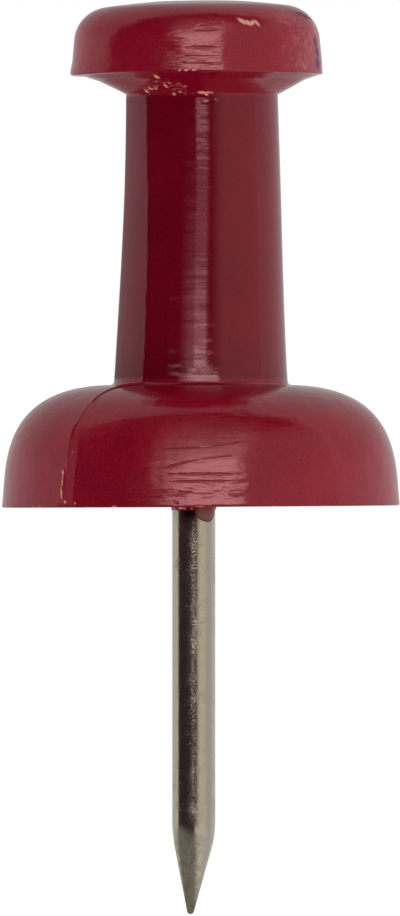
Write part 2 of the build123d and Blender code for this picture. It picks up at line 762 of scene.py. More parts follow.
# Scratches in the cap's front, the broken spot beside them, a painted highlight along the top of its front
# highlight, and rubs and stains on its right, with a painted highlight at its right edge
CAP_MARKS = (
    Mark(Wear.GROOVE, -9.3, 11.666, 4.5, 0.035),
    Mark(Wear.GROOVE, 2.7, 11.436, 10.0, 0.060),
    Mark(Wear.GROOVE, 5.1, 11.906, 8.0, 0.070, 0.003),
    Mark(Wear.GROOVE, 3.0, 11.236, 10.0, 0.020),
    Mark(Wear.GROOVE, 1.0, 11.057, 9.0, 0.020),
    Mark(Wear.CHIP, 22.4, 12.105, 3.2, 0.085, -0.020, 0.5, 0.7, 0.95, 12.0),
    Mark(Wear.CHIP, 25.3, 12.065, 2.8, 0.080, -0.016, 0.5, 0.7, 1.0, 12.0),
    Mark(Wear.CHIP, 27.6, 12.075, 2.2, 0.080, 0.026, 0.5, 0.7, 1.0, 12.0),
    Mark(Wear.CHIP, 30.0, 12.065, 2.0, 0.095, -0.045, 0.5, 0.8, 0.9, 12.0),
    # These three rubs paint the pale arc along the top edge of the front highlight: a painted highlight.
    Mark(Wear.RUB, -9.6, 11.833, 6.8, 0.045, 0.016, 0.8, 0.7),
    Mark(Wear.RUB, 1.0, 12.010, 4.8, 0.045, 0.019, 0.8, 0.7),
    Mark(Wear.RUB, 10.2, 12.086, 5.6, 0.045, -0.0015, 0.8, 0.7),
    Mark(Wear.RUB, 50.0, 12.198, 10.5, 0.240, 0.0, 2.2, 0.5, 0.6, 6.0),
    Mark(Wear.RUB, 49.5, 11.879, 1.4, 0.060, 0.0, 0.8, 0.8, 0.9),
    Mark(Wear.RUB, 45.0, 11.481, 2.4, 0.085, 0.0, 0.8, 0.8, 0.5),
    Mark(Wear.RUB, 55.0, 11.080, 10.0, 0.300, 0.0, 1.8, 0.7, 1.0, 7.0),
    Mark(Wear.RUB, 62.0, 11.500, 18.0, 0.900, 0.0, 1.2, 0.9, 0.7, 3.0),
    # This rub and the faint pale mark at the same place below paint the pink highlight at the cap's right
    # edge.
    Mark(Wear.RUB, 78.0, 12.000, 7.0, 0.300, 0.0, 0.9, 0.8, 0.7),
    Mark(Wear.RUB, 73.5, 11.310, 1.6, 0.050, 0.0, 0.5, 0.6),
    # Faint pale mark that adds to the painted highlight at the cap's right edge.
    Mark(Wear.CHIP, 78.0, 12.000, 5.0, 0.260, 0.0, 1.2, 0.9, 0.3),
    Mark(Wear.INK, 69.5, 12.300, 13.0, 0.120, -0.0074, 1.0, 0.9, 0.9, 6.0),
    Mark(Wear.INK, 73.5, 11.640, 5.0, 0.200, 0.0, 1.1, 0.9, 1.0, 6.0),
    Mark(Wear.INK, 75.0, 11.390, 5.0, 0.220, 0.0, 1.1, 0.9, 1.0, 6.0),
    Mark(Wear.INK, 74.5, 11.080, 6.0, 0.260, 0.0, 1.1, 0.9, 1.0, 6.0),
)


@dataclass(frozen=True)
class CrimsonPlastic:
    """Half gloss moulded plastic, with a fine grain, turning marks, pale flash and thumb wear, and painted
    shade, sheen and highlights in places.

    Attributes:
        deep: Colour of the darker specks of clean plastic.
        warm: Colour of its lighter specks.
        sleek_shaded: Colour of the darker specks on the stem, where the mould was polished, darkened as
            painted shade for the stem's recess between cap and flange.
        sleek_shaded_warm: Colour of the lighter specks there, darkened by the same painted shade.
        chipped_and_highlight: Colour of the broken face where plastic has broken off, and of a faint
            painted highlight at the cap's right edge.
        pale: Colour of thin flash, which whitens, and of a painted highlight on a few lumps at the neck's
            front.
        worn_and_highlight: Colour of rubbed plastic, and of the painted highlights among the rubbed marks.
        ink: Colour of the ink stains on the cap, and of the painted shadow along the tongue's lower edge.
        film: Colour of the thin tongue of flash on the needle.
        shade: Colour of the painted shade in the open seam, whose groove lies in shadow.
        cloud_share: Share of the broad clouds in the specks of colour.
        dull_sheen_share: How far the stem's dull side turns warm, a painted sheen that lightens it besides
            its rougher finish.
        seam_rub: How rubbed the band beside the seam is.
        rub_share: How far rubbed plastic takes its colour.
        ink_share: How far stained plastic takes its colour.
        tongue_shadow_share: How dark the painted shadow along the tongue's lower edge is.
        flash_speckle: How far the grain breaks up the flash.
        flash_edge: Whiteness at which flash begins to show, and shows fully.
        roughness: Roughness of clean plastic.
        sleek_roughness: Roughness where the mould was polished.
        rougher: Roughness that each mask adds.
        gloss_tint: Colour of its reflections seen square on.
        ior: Refractive index, which sets how strong they are.
        clouds: Broad changes of tone.
        grain: Fine grain of the surface.
        specks: Fine specks of colour.
        waves: Slow waves of the surface.
        smudges: Blotches in the rubbed places.
        turning: Turning marks of the mould.
        rings: Rings round the stem.
        turning_relief: Share of the turning marks in the relief, as moulded and polished.
        grain_relief: Share of the grain, likewise.
        wave_relief: Share of the waves, likewise.
        ring_relief: Share of the rings, likewise.
        relief_depth: Depth of the relief in millimetres.
        groove_depth: Depth of the scratches in millimetres.
    """

    deep: Colour = (0.13, 0.0003, 0.0075)
    warm: Colour = (0.265, 0.0036, 0.019)
    sleek_shaded: Colour = (0.088, 0.0001, 0.0048)
    sleek_shaded_warm: Colour = (0.15, 0.0007, 0.011)
    chipped_and_highlight: Colour = (0.62, 0.30, 0.23)
    pale: Colour = (0.72, 0.27, 0.2)
    worn_and_highlight: Colour = (0.33, 0.06, 0.08)
    ink: Colour = (0.085, 0.014, 0.08)
    film: Colour = (0.2, 0.1, 0.085)
    shade: Colour = (0.10, 0.003, 0.014)
    cloud_share: float = 0.25
    dull_sheen_share: float = 0.15
    seam_rub: float = 0.35
    rub_share: float = 0.8
    ink_share: float = 0.75
    tongue_shadow_share: float = 0.85
    flash_speckle: float = 0.3
    flash_edge: Point = (0.25, 0.75)
    roughness: float = 0.14
    sleek_roughness: float = 0.04
    rougher: tuple[tuple[str, float], ...] = (
        ("clouded", 0.03),
        ("groove", 0.25),
        ("chip_and_highlight", 0.3),
        ("flashed", 0.2),
        ("crack", 0.2),
        ("rub_and_highlight", 0.15),
        ("ink", 0.6),
        ("dull", 0.5),
    )
    gloss_tint: Colour = (1.0, 0.54, 0.56)
    ior: float = 1.75
    clouds: Cloud = Cloud(0.8, 4.0, 3.0, 0.35, 0.7)
    grain: Cloud = Cloud(22.0, 1.0, 9.0, 0.2, 0.8)
    specks: Cloud = Cloud(32.0, 0.5, 5.0, 0.2, 0.8)
    waves: Cloud = Cloud(1.6, 1.5, 7.0, 0.0, 1.0)
    smudges: Cloud = Cloud(6.5, 3.0, 14.0, 0.42, 0.62)
    turning: Grooves = Grooves(5.0, 4.5, 3.0, 2.0, 0.3, 0.7, 1.0)
    rings: Grooves = Grooves(1.2, 4.0, 1.0, 6.0, 0.25, 0.75)
    turning_relief: Point = (1.8, 0.1)
    grain_relief: Point = (0.45, 0.03)
    wave_relief: Point = (8.0, 0.8)
    ring_relief: Point = (0.0, 0.3)
    relief_depth: float = 0.0016
    groove_depth: float = 0.012

    def material(self, cap_x: float) -> bpy.types.Material:
        """Builds the material.

        Args:
            cap_x: Place of the cap's axis along X in millimetres.

        Returns:
            The material.
        """
        material, bench, shader = new_finish("crimson_plastic")
        masks = self.masks(bench, cap_x)
        bench.feed(self.colour(bench, masks), shader.inputs["Base Color"])
        bench.feed(self.gloss(bench, masks), shader.inputs["Roughness"])
        bench.feed(self.relief(bench, masks), shader.inputs["Normal"])
        shader.inputs["IOR"].default_value = self.ior
        shader.inputs["Specular Tint"].default_value = (*self.gloss_tint, 1.0)
        return material

    def masks(self, bench: Bench, cap_x: float) -> dict[str, Socket]:
        """Lays out every mask that the finish uses.

        Args:
            bench: The material's bench.
            cap_x: Place of the cap's axis along X in millimetres.

        Returns:
            The masks by name, each from 0 to 1.
        """
        masks = {name: bench.attribute(name) for name in PLASTIC_ATTRIBUTES}
        masks |= {kind.value: self.gather(bench, kind, cap_x) for kind in PLASTIC_WEAR}
        masks["clouds"] = self.clouds.mask(bench)
        masks["grain"] = self.grain.mask(bench)
        speckle = bench.times(bench.minus(masks["grain"], 0.5), self.flash_speckle)
        masks["flashed"] = bench.smooth(bench.plus(masks["flash"], speckle), *self.flash_edge)
        masks["clouded"] = bench.times(masks["clouds"], bench.span(masks["sleek_shaded"], 1.0, 0.0))
        return masks

    def gather(self, bench: Bench, kind: Wear, cap_x: float) -> Socket | float:
        """Joins the masks of all the marks of one kind.

        Args:
            bench: The material's bench.
            kind: The kind of mark.
            cap_x: Place of the cap's axis along X in millimetres.

        Returns:
            One mask, from 0 to 1.
        """
        joined: Socket | float = 0.0
        for marks, axis_x in ((FLANGE_MARKS, 0.0), (CAP_MARKS, cap_x)):
            for mark in marks:
                if mark.wear is kind:
                    joined = bench.most(joined, mark.mask(bench, axis_x))
        return joined

    def colour(self, bench: Bench, masks: dict[str, Socket]) -> Socket:
        """Mixes the colour, from clean plastic up to the last mark on it.

        Args:
            bench: The material's bench.
            masks: The finish's masks.

        Returns:
            The colour.
        """
        fine = bench.times(self.specks.mask(bench), 1 - self.cloud_share)
        specks = bench.plus(fine, bench.times(masks["clouds"], self.cloud_share))
        moulded = bench.mix(specks, self.deep, self.warm)
        # The stem's colour is darker than the flange's and the cap's: painted shade for the stem's recess
        # between them.
        polished = bench.mix(specks, self.sleek_shaded, self.sleek_shaded_warm)
        rubbed = bench.times(masks["rub_and_highlight"], self.smudges.mask(bench))
        rubbed = bench.most(rubbed, bench.times(masks["seam"], self.seam_rub))
        colour = bench.mix(masks["sleek_shaded"], moulded, polished)
        for mask, share, tint in (
            # painted sheen: the stem's dull side lifted towards the warm colour
            (masks["dull"], self.dull_sheen_share, self.warm),
            # rubs, with the painted highlights on the cap among them
            (rubbed, self.rub_share, self.worn_and_highlight),
            (masks["ink"], self.ink_share, self.ink),
            # broken faces, and one faint painted highlight
            (masks["chip_and_highlight"], 1.0, self.chipped_and_highlight),
            # flash, whose whiteness on a few lumps at the neck's front is a painted highlight
            (masks["flashed"], 1.0, self.pale),
            # painted shade in the open crack of the seam
            (masks["crack"], 1.0, self.shade),
            (masks["film"], 1.0, self.film),
            # painted shadow along the tongue's lower edge, in the stains' colour
            (masks["edge"], self.tongue_shadow_share, self.ink),
        ):
            colour = bench.mix(bench.times(mask, share), colour, tint)
        return colour

    def gloss(self, bench: Bench, masks: dict[str, Socket]) -> Socket:
        """Sums up the roughness, which every mark adds to.

        Args:
            bench: The material's bench.
            masks: The finish's masks.

        Returns:
            The roughness.
        """
        rough = bench.span(masks["sleek_shaded"], self.roughness, self.sleek_roughness)
        for name, more in self.rougher:
            rough = bench.plus(rough, bench.times(masks[name], more))
        return rough

    def relief(self, bench: Bench, masks: dict[str, Socket]) -> Socket:
        """Lays the scratches over the fine relief.

        Args:
            bench: The material's bench.
            masks: The finish's masks.

        Returns:
            The normal over both.
        """
        turning, grain, waves, rings = (
            bench.span(masks["sleek_shaded"], *pair)
            for pair in (self.turning_relief, self.grain_relief, self.wave_relief, self.ring_relief)
        )
        height = bench.plus(
            bench.times(self.turning.mask(bench), turning),
            bench.times(masks["grain"], bench.plus(grain, masks["dull"])),
        )
        height = bench.plus(height, bench.times(self.waves.mask(bench), waves))
        height = bench.minus(height, bench.times(self.rings.mask(bench), rings))
        fine = bench.bump(height, self.relief_depth)
        return bench.bump(bench.minus(1.0, masks["groove"]), self.groove_depth, fine)


@dataclass(frozen=True)
class NickelSteel:
    """Drawn and nickel plated wire, tarnished brown, with a ground point.

    Attributes:
        bright: Colour of clean plating.
        brown: Colour of tarnish.
        mauve: Colour of the side that has dulled most.
        collar_dark: Colour of the darker purple patch at the needle's top, just below the collar.
        roughness: Roughness of clean plating.
        drawn_rough: Roughness that the drawing marks add.
        worn_rough: Roughness that tarnish and grinding add.
        glint_rough: Roughness that the glints add.
        drawn: Drawing marks.
        tarnish: Broad clouds of tarnish.
        pits: Fine pits in the surface.
        blots: Spots of grime, most of them on the point.
        specks: Fine specks of grime.
        glints: Fine specks that shine less.
        side: The side that has dulled most.
        collar_darkening: The darker purple patch at the needle's top, just below the collar.
        blot_share: Strength of the blots on the shank and on the point.
        speck_share: Strength of the specks.
        tarnish_share: Strength of the tarnish.
        drawn_relief: Share of the drawing marks in the relief.
        pit_relief: Share of the pits in it.
        relief_depth: Depth of the relief in millimetres.
    """

    bright: Colour = (0.76, 0.70, 0.535)
    brown: Colour = (0.36, 0.27, 0.2)
    mauve: Colour = (0.53, 0.49, 0.45)
    collar_dark: Colour = (0.10, 0.03, 0.06)
    roughness: float = 0.095
    drawn_rough: float = 0.05
    worn_rough: float = 0.1
    glint_rough: float = 0.09
    drawn: Grooves = Grooves(12.0, 1.5, 3.0, 4.0, 0.2, 0.8)
    tarnish: Cloud = Cloud(2.2, 4.0, 1.0, 0.45, 0.7)
    pits: Cloud = Cloud(24.0, 2.0, 6.0, 0.33, 0.67)
    blots: Cloud = Cloud(10.0, 3.0, 8.0, 0.35, 0.65)
    specks: Cloud = Cloud(30.0, 1.0, 2.0, 0.3, 0.7)
    glints: Cloud = Cloud(19.0, 1.0, 12.0, 0.55, 0.7)
    side: Mark = Mark(Wear.TARNISH, 47.0, -4.0, 22.0, 12.0, ragged=0.4, soft=0.8, fine=4.0)
    collar_darkening: Mark = Mark(Wear.DIRT, -14.0, -0.1, 38.0, 0.4, ragged=0.6, soft=0.9, fine=6.0)
    blot_share: Point = (0.15, 0.6)
    speck_share: float = 0.3
    tarnish_share: float = 0.5
    drawn_relief: float = 0.4
    pit_relief: float = 0.75
    relief_depth: float = 0.001

    def material(self, axis_x: float) -> bpy.types.Material:
        """Builds the material.

        Args:
            axis_x: Place of the needle's axis along X in millimetres.

        Returns:
            The material.
        """
        material, bench, shader = new_finish("nickel_steel")
        drawn, tarnish = self.drawn.mask(bench, axis_x), self.tarnish.mask(bench)
        ground = bench.attribute("ground")
        soiled = bench.times(self.blots.mask(bench), bench.span(ground, *self.blot_share))
        soiled = bench.most(soiled, bench.times(self.specks.mask(bench), self.speck_share))
        dull = bench.most(bench.times(tarnish, self.tarnish_share), soiled)
        colour = bench.mix(dull, self.bright, self.brown)
        colour = bench.mix(self.side.mask(bench, axis_x), colour, self.mauve)
        # Darker purple at the needle's top, just below the collar.
        colour = bench.mix(self.collar_darkening.mask(bench, axis_x), colour, self.collar_dark)
        bench.feed(colour, shader.inputs["Base Color"])
        rough = bench.span(drawn, self.roughness, self.roughness + self.drawn_rough)
        rough = bench.plus(rough, bench.times(bench.plus(ground, tarnish), self.worn_rough))
        rough = bench.plus(rough, bench.times(self.glints.mask(bench), self.glint_rough))
        bench.feed(rough, shader.inputs["Roughness"])
        pits = bench.times(self.pits.mask(bench), self.pit_relief)
        height = bench.plus(bench.times(drawn, self.drawn_relief), pits)
        bench.feed(bench.bump(height, self.relief_depth), shader.inputs["Normal"])
        shader.inputs["Metallic"].default_value = 1.0
        return material


# Pieces


def finish_piece(piece: bpy.types.Object, material: bpy.types.Material, node: str) -> None:
    """Smooths a piece, gives it its finish and puts it in the frame.

    Args:
        piece: The finished mesh.
        material: Its finish.
        node: The construction node that it stands for.
    """
    bpy.ops.object.select_all(action="DESELECT")
    piece.select_set(True)
    bpy.context.view_layer.objects.active = piece
    bpy.ops.object.shade_smooth_by_angle(angle=math.radians(SMOOTH_ANGLE))
    piece.data.materials.clear()
    piece.data.materials.append(material)
    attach(piece, "root")
    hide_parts(node)
    LOG.info("%s: %d faces, stands for %s", piece.name, len(piece.data.polygons), node)


@dataclass
class Needle:
    """The steel wire: ground point, drawn shank, ring barbs and head.

    The barbs and the head are inside the handle. Steps are the chords of a stretch or of the turn.

    Attributes:
        axis_x: Place of its axis along X.
        radius: Radius of the wire.
        shank: Length of the bare wire below the handle.
        projection: Length below the handle, point included.
        finish: Its finish.
        tip_radius: Radius of the blunted tip.
        point_half_angle: Half angle of the ground point in degrees.
        shoulder_round: Radius of the round where the point meets the shank.
        tip_skew: How far the tip stands to the side.
        ground_blend: Share of the point's length over which the grinding begins.
    """

    axis_x: float
    radius: float
    shank: float
    projection: float
    finish: NickelSteel = NickelSteel()
    tip_radius: float = 0.09
    point_half_angle: float = 13.2
    shoulder_round: float = 3.0
    tip_skew: float = -0.085
    barb_count: int = 6
    barb_pitch: float = 1.05
    barb_depth: float = 0.1
    head_radius: float = 0.875
    head_thickness: float = 0.4
    ground_blend: float = 0.125
    tip_steps: int = 6
    point_steps: int = 20
    shoulder_steps: int = 10
    shank_steps: int = 60
    turn_steps: int = 96

    def embedded(self) -> list[Point]:
        """Outline of the part inside the plastic, from the underside up to the head's edge.

        Returns:
            Radius and height of each corner, without the first at the underside.
        """
        points = []
        for barb in range(1, self.barb_count + 1):
            ledge = barb * self.barb_pitch
            points += [(self.radius - self.barb_depth, ledge), (self.radius, ledge)]
        base = self.barb_count * self.barb_pitch
        return points + [(self.head_radius, base), (self.head_radius, base + self.head_thickness)]

    def outline(self) -> list[Point]:
        """Outline from the tip to the top of the head.

        Returns:
            Radius and height of each point.
        """
        tip_z = self.tip_radius - self.projection
        points = arc((0, tip_z), self.tip_radius, -90, -self.point_half_angle, self.tip_steps)
        angle = math.radians(self.point_half_angle)
        reach = self.shoulder_round * math.tan(angle / 2)
        foot = (self.radius - reach * math.sin(angle), -self.shank - reach * math.cos(angle))
        points += line(points[-1], foot, self.point_steps)
        middle = (self.radius - self.shoulder_round, reach - self.shank)
        points += arc(middle, self.shoulder_round, -self.point_half_angle, 0, self.shoulder_steps)[1:]
        points += line(points[-1], (self.radius, 0.0), self.shank_steps)
        points += self.embedded()
        return points + [(0.0, points[-1][1])]

    def build(self) -> bpy.types.Object:
        """Models the needle.

        Returns:
            The finished piece.
        """
        piece = start_outline("needle_wire", self.outline(), self.axis_x)
        spin_outline(piece, self.axis_x, [(360, self.turn_steps)])
        self.skew_point(piece)
        surface = Surface(piece, self.axis_x)
        depth = (-self.shank - surface.height) / (self.projection - self.shank)
        store(piece, "ground", np.clip(depth / self.ground_blend, 0, 1))
        finish_piece(piece, self.finish.material(self.axis_x), "needle")
        return piece

    def skew_point(self, piece: bpy.types.Object) -> None:
        """Pulls the ground point a little to one side, as it was ground.

        Args:
            piece: The needle.
        """
        surface = Surface(piece, self.axis_x)
        surface.select(surface.height < NEAR - self.projection)
        with editing(piece):
            bpy.ops.transform.translate(
                value=(self.tip_skew * MM, 0, 0),
                use_proportional_edit=True,
                proportional_edit_falloff="LINEAR",
                proportional_size=(self.projection - self.shank) * MM,
            )


@dataclass
class Relief:
    """What stands out of a surface at each vertex, and how white it is.

    Attributes:
        rise: How far it stands out in millimetres.
        pale: How white it is, from 0 to 1.
    """

    rise: np.ndarray
    pale: np.ndarray

    def add(self, shape: np.ndarray, rise: float, pale: float) -> None:
        """Adds a bump by its shape, its height and its whiteness."""
        self.rise += rise * shape
        self.pale = np.maximum(self.pale, pale * shape)


@dataclass(frozen=True)
class Crumb:
    """A bit of flash on the moulding, or a dent in it.

    Attributes:
        azimuth: Place round the axis in degrees.
        height: Height above the underside.
        half_width: Half its size round the axis.
        half_height: Half its height.
        rise: How far it stands out, negative for a dent.
        pale: How white it is, from 0 to 1.
    """

    azimuth: float
    height: float
    half_width: float
    half_height: float
    rise: float
    pale: float = 0.0

    def shape(self, surface: Surface) -> np.ndarray:
        """Returns its bump on a surface, 1 in its middle and 0 beside it."""
        across = surface.arc_from(self.azimuth) / self.half_width
        return bump_shape(np.hypot(across, (surface.height - self.height) / self.half_height))


@dataclass(frozen=True)
class Thread:
    """A thin string of flash on the moulding.

    Attributes:
        bends: Azimuth in degrees and height of each point that it passes.
        half_width: Half its width.
        rise: How far it stands out.
        pale: How white it is, from 0 to 1.
    """

    bends: tuple[Point, ...]
    half_width: float
    rise: float
    pale: float

    def shape(self, surface: Surface) -> np.ndarray:
        """Shapes its bump on a surface.

        Args:
            surface: The moulding.

        Returns:
            The bump at each vertex, 1 along its middle and 0 beside it.
        """
        nearest = np.full(len(surface.height), np.inf)
        for (first, low), (last, high) in zip(self.bends, self.bends[1:]):
            across, up = surface.arc_from(first), surface.height - low
            run, climb = np.radians(last - first) * surface.radius, high - low
            length = run**2 + climb**2 + TINY
            share = np.clip((across * run + up * climb) / length, 0, 1)
            nearest = np.minimum(nearest, np.hypot(across - share * run, up - share * climb))
        return bump_shape(nearest / self.half_width)


# Crumbs on the neck, three at its front whitened as a painted highlight, on the front seam, and shallow
# dents in the flange
BODY_CRUMBS = (
    Crumb(-23.8, 10.746, 0.121, 0.074, 0.05, 1),
    Crumb(-41.7, 10.403, 0.081, 0.081, 0.045, 1),
    Crumb(-35.6, 10.469, 0.0743, 0.068, 0.03, 0.8),
    Crumb(-31.4, 10.467, 0.0743, 0.068, 0.03, 0.8),
    Crumb(-23, 10.529, 0.0743, 0.088, 0.04, 0.95),
    Crumb(-19.1, 10.592, 0.135, 0.047, 0.02, 0.55),
    Crumb(-13.4, 10.576, 0.135, 0.047, 0.02, 0.55),
    Crumb(-10.1, 10.510, 0.081, 0.068, 0.02, 0.55),
    Crumb(-12, 10.322, 0.081, 0.054, 0.02, 0.6),
    Crumb(-20.4, 10.319, 0.108, 0.061, 0.03, 0.9),
    Crumb(-15.5, 10.376, 0.121, 0.047, 0.02, 0.65),
    # These three are real lumps on the neck's front, whitened as a painted highlight in the corner under
    # the cap.
    Crumb(0.5, 10.361, 0.203, 0.054, 0.03, 1),
    Crumb(4.1, 10.306, 0.081, 0.061, 0.035, 1),
    Crumb(7.6, 10.351, 0.0945, 0.047, 0.02, 0.8),
    Crumb(4.1, 10.105, 0.17, 0.04, 0.004, 0.5),
    Crumb(11.8, 10.131, 0.14, 0.04, 0.004, 0.4),
    Crumb(-43.7, 0.843, 0.055, 0.09, 0.035, 1.0),
    Crumb(-43.7, 0.600, 0.035, 0.22, 0.025, 0.8),
    Crumb(-43.8, 0.330, 0.05, 0.2, 0.02, 0.9),
    Crumb(-42.5, 0.120, 0.06, 0.07, 0.01, 1.0),
    Crumb(-38.8, 0.090, 0.05, 0.05, 0.005, 0.9),
    Crumb(-40.9, 1.343, 0.045, 0.045, 0.02, 0.75),
    Crumb(0.0, 0.950, 2.40, 0.75, -0.005),
    Crumb(-10.5, 1.040, 0.60, 0.13, -0.009),
    Crumb(11.8, 1.040, 0.28, 0.10, -0.006),
    Crumb(11.6, 0.577, 0.32, 0.11, -0.006),
)
# Crumbs on the cap's rim, and the slight swellings and dents of its wall
CAP_CRUMBS = (
    Crumb(-7.8, 10.873, 0.08, 0.04, 0.015, 0.7),
    Crumb(-4.9, 10.880, 0.10, 0.04, 0.02, 0.95),
    Crumb(-1.4, 10.883, 0.10, 0.04, 0.02, 0.95),
    Crumb(-90.0, 10.840, 4.0, 0.40, 0.03),
    Crumb(90.0, 10.840, 4.0, 0.40, -0.015),
    Crumb(26.4, 12.080, 0.32, 0.1, -0.015),
    Crumb(0.0, 11.900, 3.2, 1.3, 0.033),
    Crumb(-11.0, 11.720, 0.5, 0.4, 0.018),
)
# Strings of flash on the neck and on the front seam, one at the neck's front whitened as a painted
# highlight
BODY_THREADS = (
    Thread(
        ((-22.5, 10.47), (-18.0, 10.54), (-12.5, 10.52), (-10.5, 10.44), (-11.5, 10.33)), 0.034, 0.015, 0.46
    ),
    Thread(((-20.5, 10.42), (-16.5, 10.46), (-13.0, 10.42), (-14.0, 10.36)), 0.030, 0.012, 0.43),
    Thread(((-41.5, 10.40), (-37.0, 10.46), (-32.5, 10.46), (-28.0, 10.52)), 0.034, 0.015, 0.46),
    Thread(((-29.0, 10.60), (-25.0, 10.62), (-21.5, 10.59)), 0.030, 0.012, 0.4),
    # A real string on the neck's front, whitened as a painted highlight in the corner under the cap.
    Thread(((-0.5, 10.36), (2.5, 10.35), (6.0, 10.37)), 0.036, 0.015, 0.9),
    Thread(((-43.9, 0.95), (-43.6, 0.70), (-44.1, 0.45), (-43.5, 0.20)), 0.030, 0.015, 0.7),
)


@dataclass(frozen=True)
class Seam:
    """The lines down the front and the back where the mould's side slides meet.

    Attributes:
        front: Height and azimuth of each point of the front line.
        back: Azimuth of the back line.
        start: Height where both begin.
        wander: How far they stray.
        wander_pitch: Height from one stray to the next.
        ridge_pitch: Height from one change of the ridge's strength to the next.
        ridge_half: Half the ridge's width.
        ridge_rise: How far the ridge stands out.
        ridge_pale: How white it is, from 0 to 1.
        left_step: How far the surface stands out on the left of the front line.
        right_step: How far it stands out on the right, on the flange.
        fade: Distance round the surface over which each step fades out.
        rim_fade: Height above the underside over which the steps grow.
        top_fade: Height below the stem over which the right step ends.
        band_width: Width of the rubbed band on the right of the front line.
        band_top: Height where the band ends.
        band_fade: Height over which it fades out below that.
    """

    front: tuple[Point, ...] = (
        (0.0, -42.3), (0.26, -42.8), (0.68, -42.5), (1.39, -42.4), (1.93, -43.3),
        (2.13, -42.3), (2.55, -42.0), (2.90, -42.8), (3.18, -41.6), (5.18, -41.4),
        (7.57, -42.8), (8.95, -45.0), (10.33, -45.5),
    )
    back: float = 138.0
    start: float = 0.05
    wander: float = 0.03
    wander_pitch: float = 0.09
    ridge_pitch: float = 0.22
    ridge_half: float = 0.03
    ridge_rise: float = 0.02
    ridge_pale: float = 0.2
    left_step: float = 0.04
    right_step: float = 0.03
    fade: float = 0.8
    rim_fade: float = 0.3
    top_fade: float = 0.4
    band_width: float = 0.26
    band_top: float = 1.9
    band_fade: float = 0.5

    def azimuth(self, height: np.ndarray) -> np.ndarray:
        """Returns the azimuth of the front line at each height."""
        return np.interp(height, *zip(*self.front))

    def offset(self, surface: Surface, number: int) -> np.ndarray:
        """Measures the distance round a surface from one of the lines.

        Args:
            surface: The moulding.
            number: 0 for the front line, 1 for the back one.

        Returns:
            Millimetres at each vertex.
        """
        azimuth = self.back if number else self.azimuth(surface.height)
        stray = ragged(surface.height / self.wander_pitch, SEAM_KNOTS, Draw.SEAM_WANDER + number)
        return surface.arc_from(azimuth) + self.wander * (stray - 0.5)

    def ridge(self, surface: Surface, number: int) -> np.ndarray:
        """Shapes the uneven ridge along one of the lines.

        Args:
            surface: The moulding.
            number: 0 for the front line, 1 for the back one.

        Returns:
            The ridge at each vertex, from 0 to 1.
        """
        offset = self.offset(surface, number)
        strength = ragged(surface.height / self.ridge_pitch, RIDGE_KNOTS, Draw.SEAM_RIDGE + number)
        return np.exp(-((offset / self.ridge_half) ** 2)) * strength**2


@dataclass(frozen=True)
class Crack:
    """The open end of the front seam, where it nears the stem.

    Attributes:
        path: Height and azimuth of each point.
        half_widths: Half its width at its lower and at its upper end.
        fade: Height over which each end closes.
        depth: How deep it is.
    """

    path: tuple[Point, ...] = (
        (2.38, -38.6), (2.42, -38.9), (2.61, -40.7), (2.78, -42.2), (2.91, -42.9),
    )
    half_widths: Point = (0.09, 0.05)
    fade: float = 0.12
    depth: float = 0.003

    def shape(self, surface: Surface) -> np.ndarray:
        """Shapes its opening on a surface.

        Args:
            surface: The moulding.

        Returns:
            The opening at each vertex, 1 along its middle and 0 beside it.
        """
        height, low, high = surface.height, self.path[0][0], self.path[-1][0]
        half = np.interp(height, (low, high), self.half_widths)
        shape = bump_shape(surface.arc_from(np.interp(height, *zip(*self.path))) / half)
        shape *= np.clip((height - low) / self.fade, 0, 1)
        return shape * np.clip((high - height) / self.fade, 0, 1)


@dataclass(frozen=True)
class Collar:
    """The thin flash that hangs from the hub round the needle, with one tongue.

    Attributes:
        drop: How far it hangs down.
        rings: Distance from the wire, and share of the drop, of each ring from the hub to the wire.
        stiff: Share of the drop down to which it keeps its place.
        lump_turn: Degrees from one lump to the next.
        pale: How white it is, from 0 to 1.
        pale_turn: Degrees from one change of its whiteness to the next.
        tongue_drop: How far the tongue hangs below it.
        tongue_azimuth: Azimuth of the tongue's middle.
        tongue_half_width: Half its width in degrees.
        film_gain: How soon its film sets in from its sides.
    """

    drop: float = 0.05
    rings: tuple[Point, ...] = (
        (0.06, 0.0), (0.03, 0.4), (0.025, 0.85), (0.02, 1.0), (0.003, 1.0), (0.0, 0.0),
    )
    stiff: float = 0.5
    lump_turn: float = 9.0
    pale: float = 0.8
    pale_turn: float = 7.0
    tongue_drop: float = 0.33
    tongue_azimuth: float = 37.0
    tongue_half_width: float = 33.0
    film_gain: float = 3.0

    def turn(self, surface: Surface) -> np.ndarray:
        """Returns the place round the needle, 0 in the tongue's middle and 1 at its sides."""
        return np.abs(surface.azimuth - self.tongue_azimuth) / self.tongue_half_width

    def flash(self, surface: Surface, reach: float) -> np.ndarray:
        """Returns the whitened flash beside the tongue, within a reach of the needle's axis."""
        hanging = (surface.height < -NEAR) & (surface.radius < reach) & (self.turn(surface) > 1)
        return ragged_turn(surface.azimuth, self.pale_turn, Draw.COLLAR) ** 2 * hanging


@dataclass(frozen=True)
class Chords:
    """How finely each stretch of the handle's outline is drawn, in chords.

    Attributes:
        dish: The sink in the underside.
        land: The flat ring at the rim.
        rim: The flange's rim and the round at the stem's foot.
        dome: The flange's dome.
        stem: The stem.
        ends: The stem again, of which only the lowest and the highest are used.
        lowest: How many of those at its foot.
        highest: How many at its top.
        neck: The neck.
        flare: The flare under the cap.
        cap_rim: The cap's lower edge.
        wall: The cap's wall.
        wall_low: How many of those are used next to the lower edge.
        wall_stride: One in how many is used above that.
        cap_edge: The round at the top of the wall.
        crown: The crown.
    """

    dish: int = 14
    land: int = 4
    rim: int = 5
    dome: int = 92
    stem: int = 54
    ends: int = 180
    lowest: int = 13
    highest: int = 14
    neck: int = 26
    flare: int = 5
    cap_rim: int = 4
    wall: int = 36
    wall_low: int = 6
    wall_stride: int = 4
    cap_edge: int = 16
    crown: int = 18


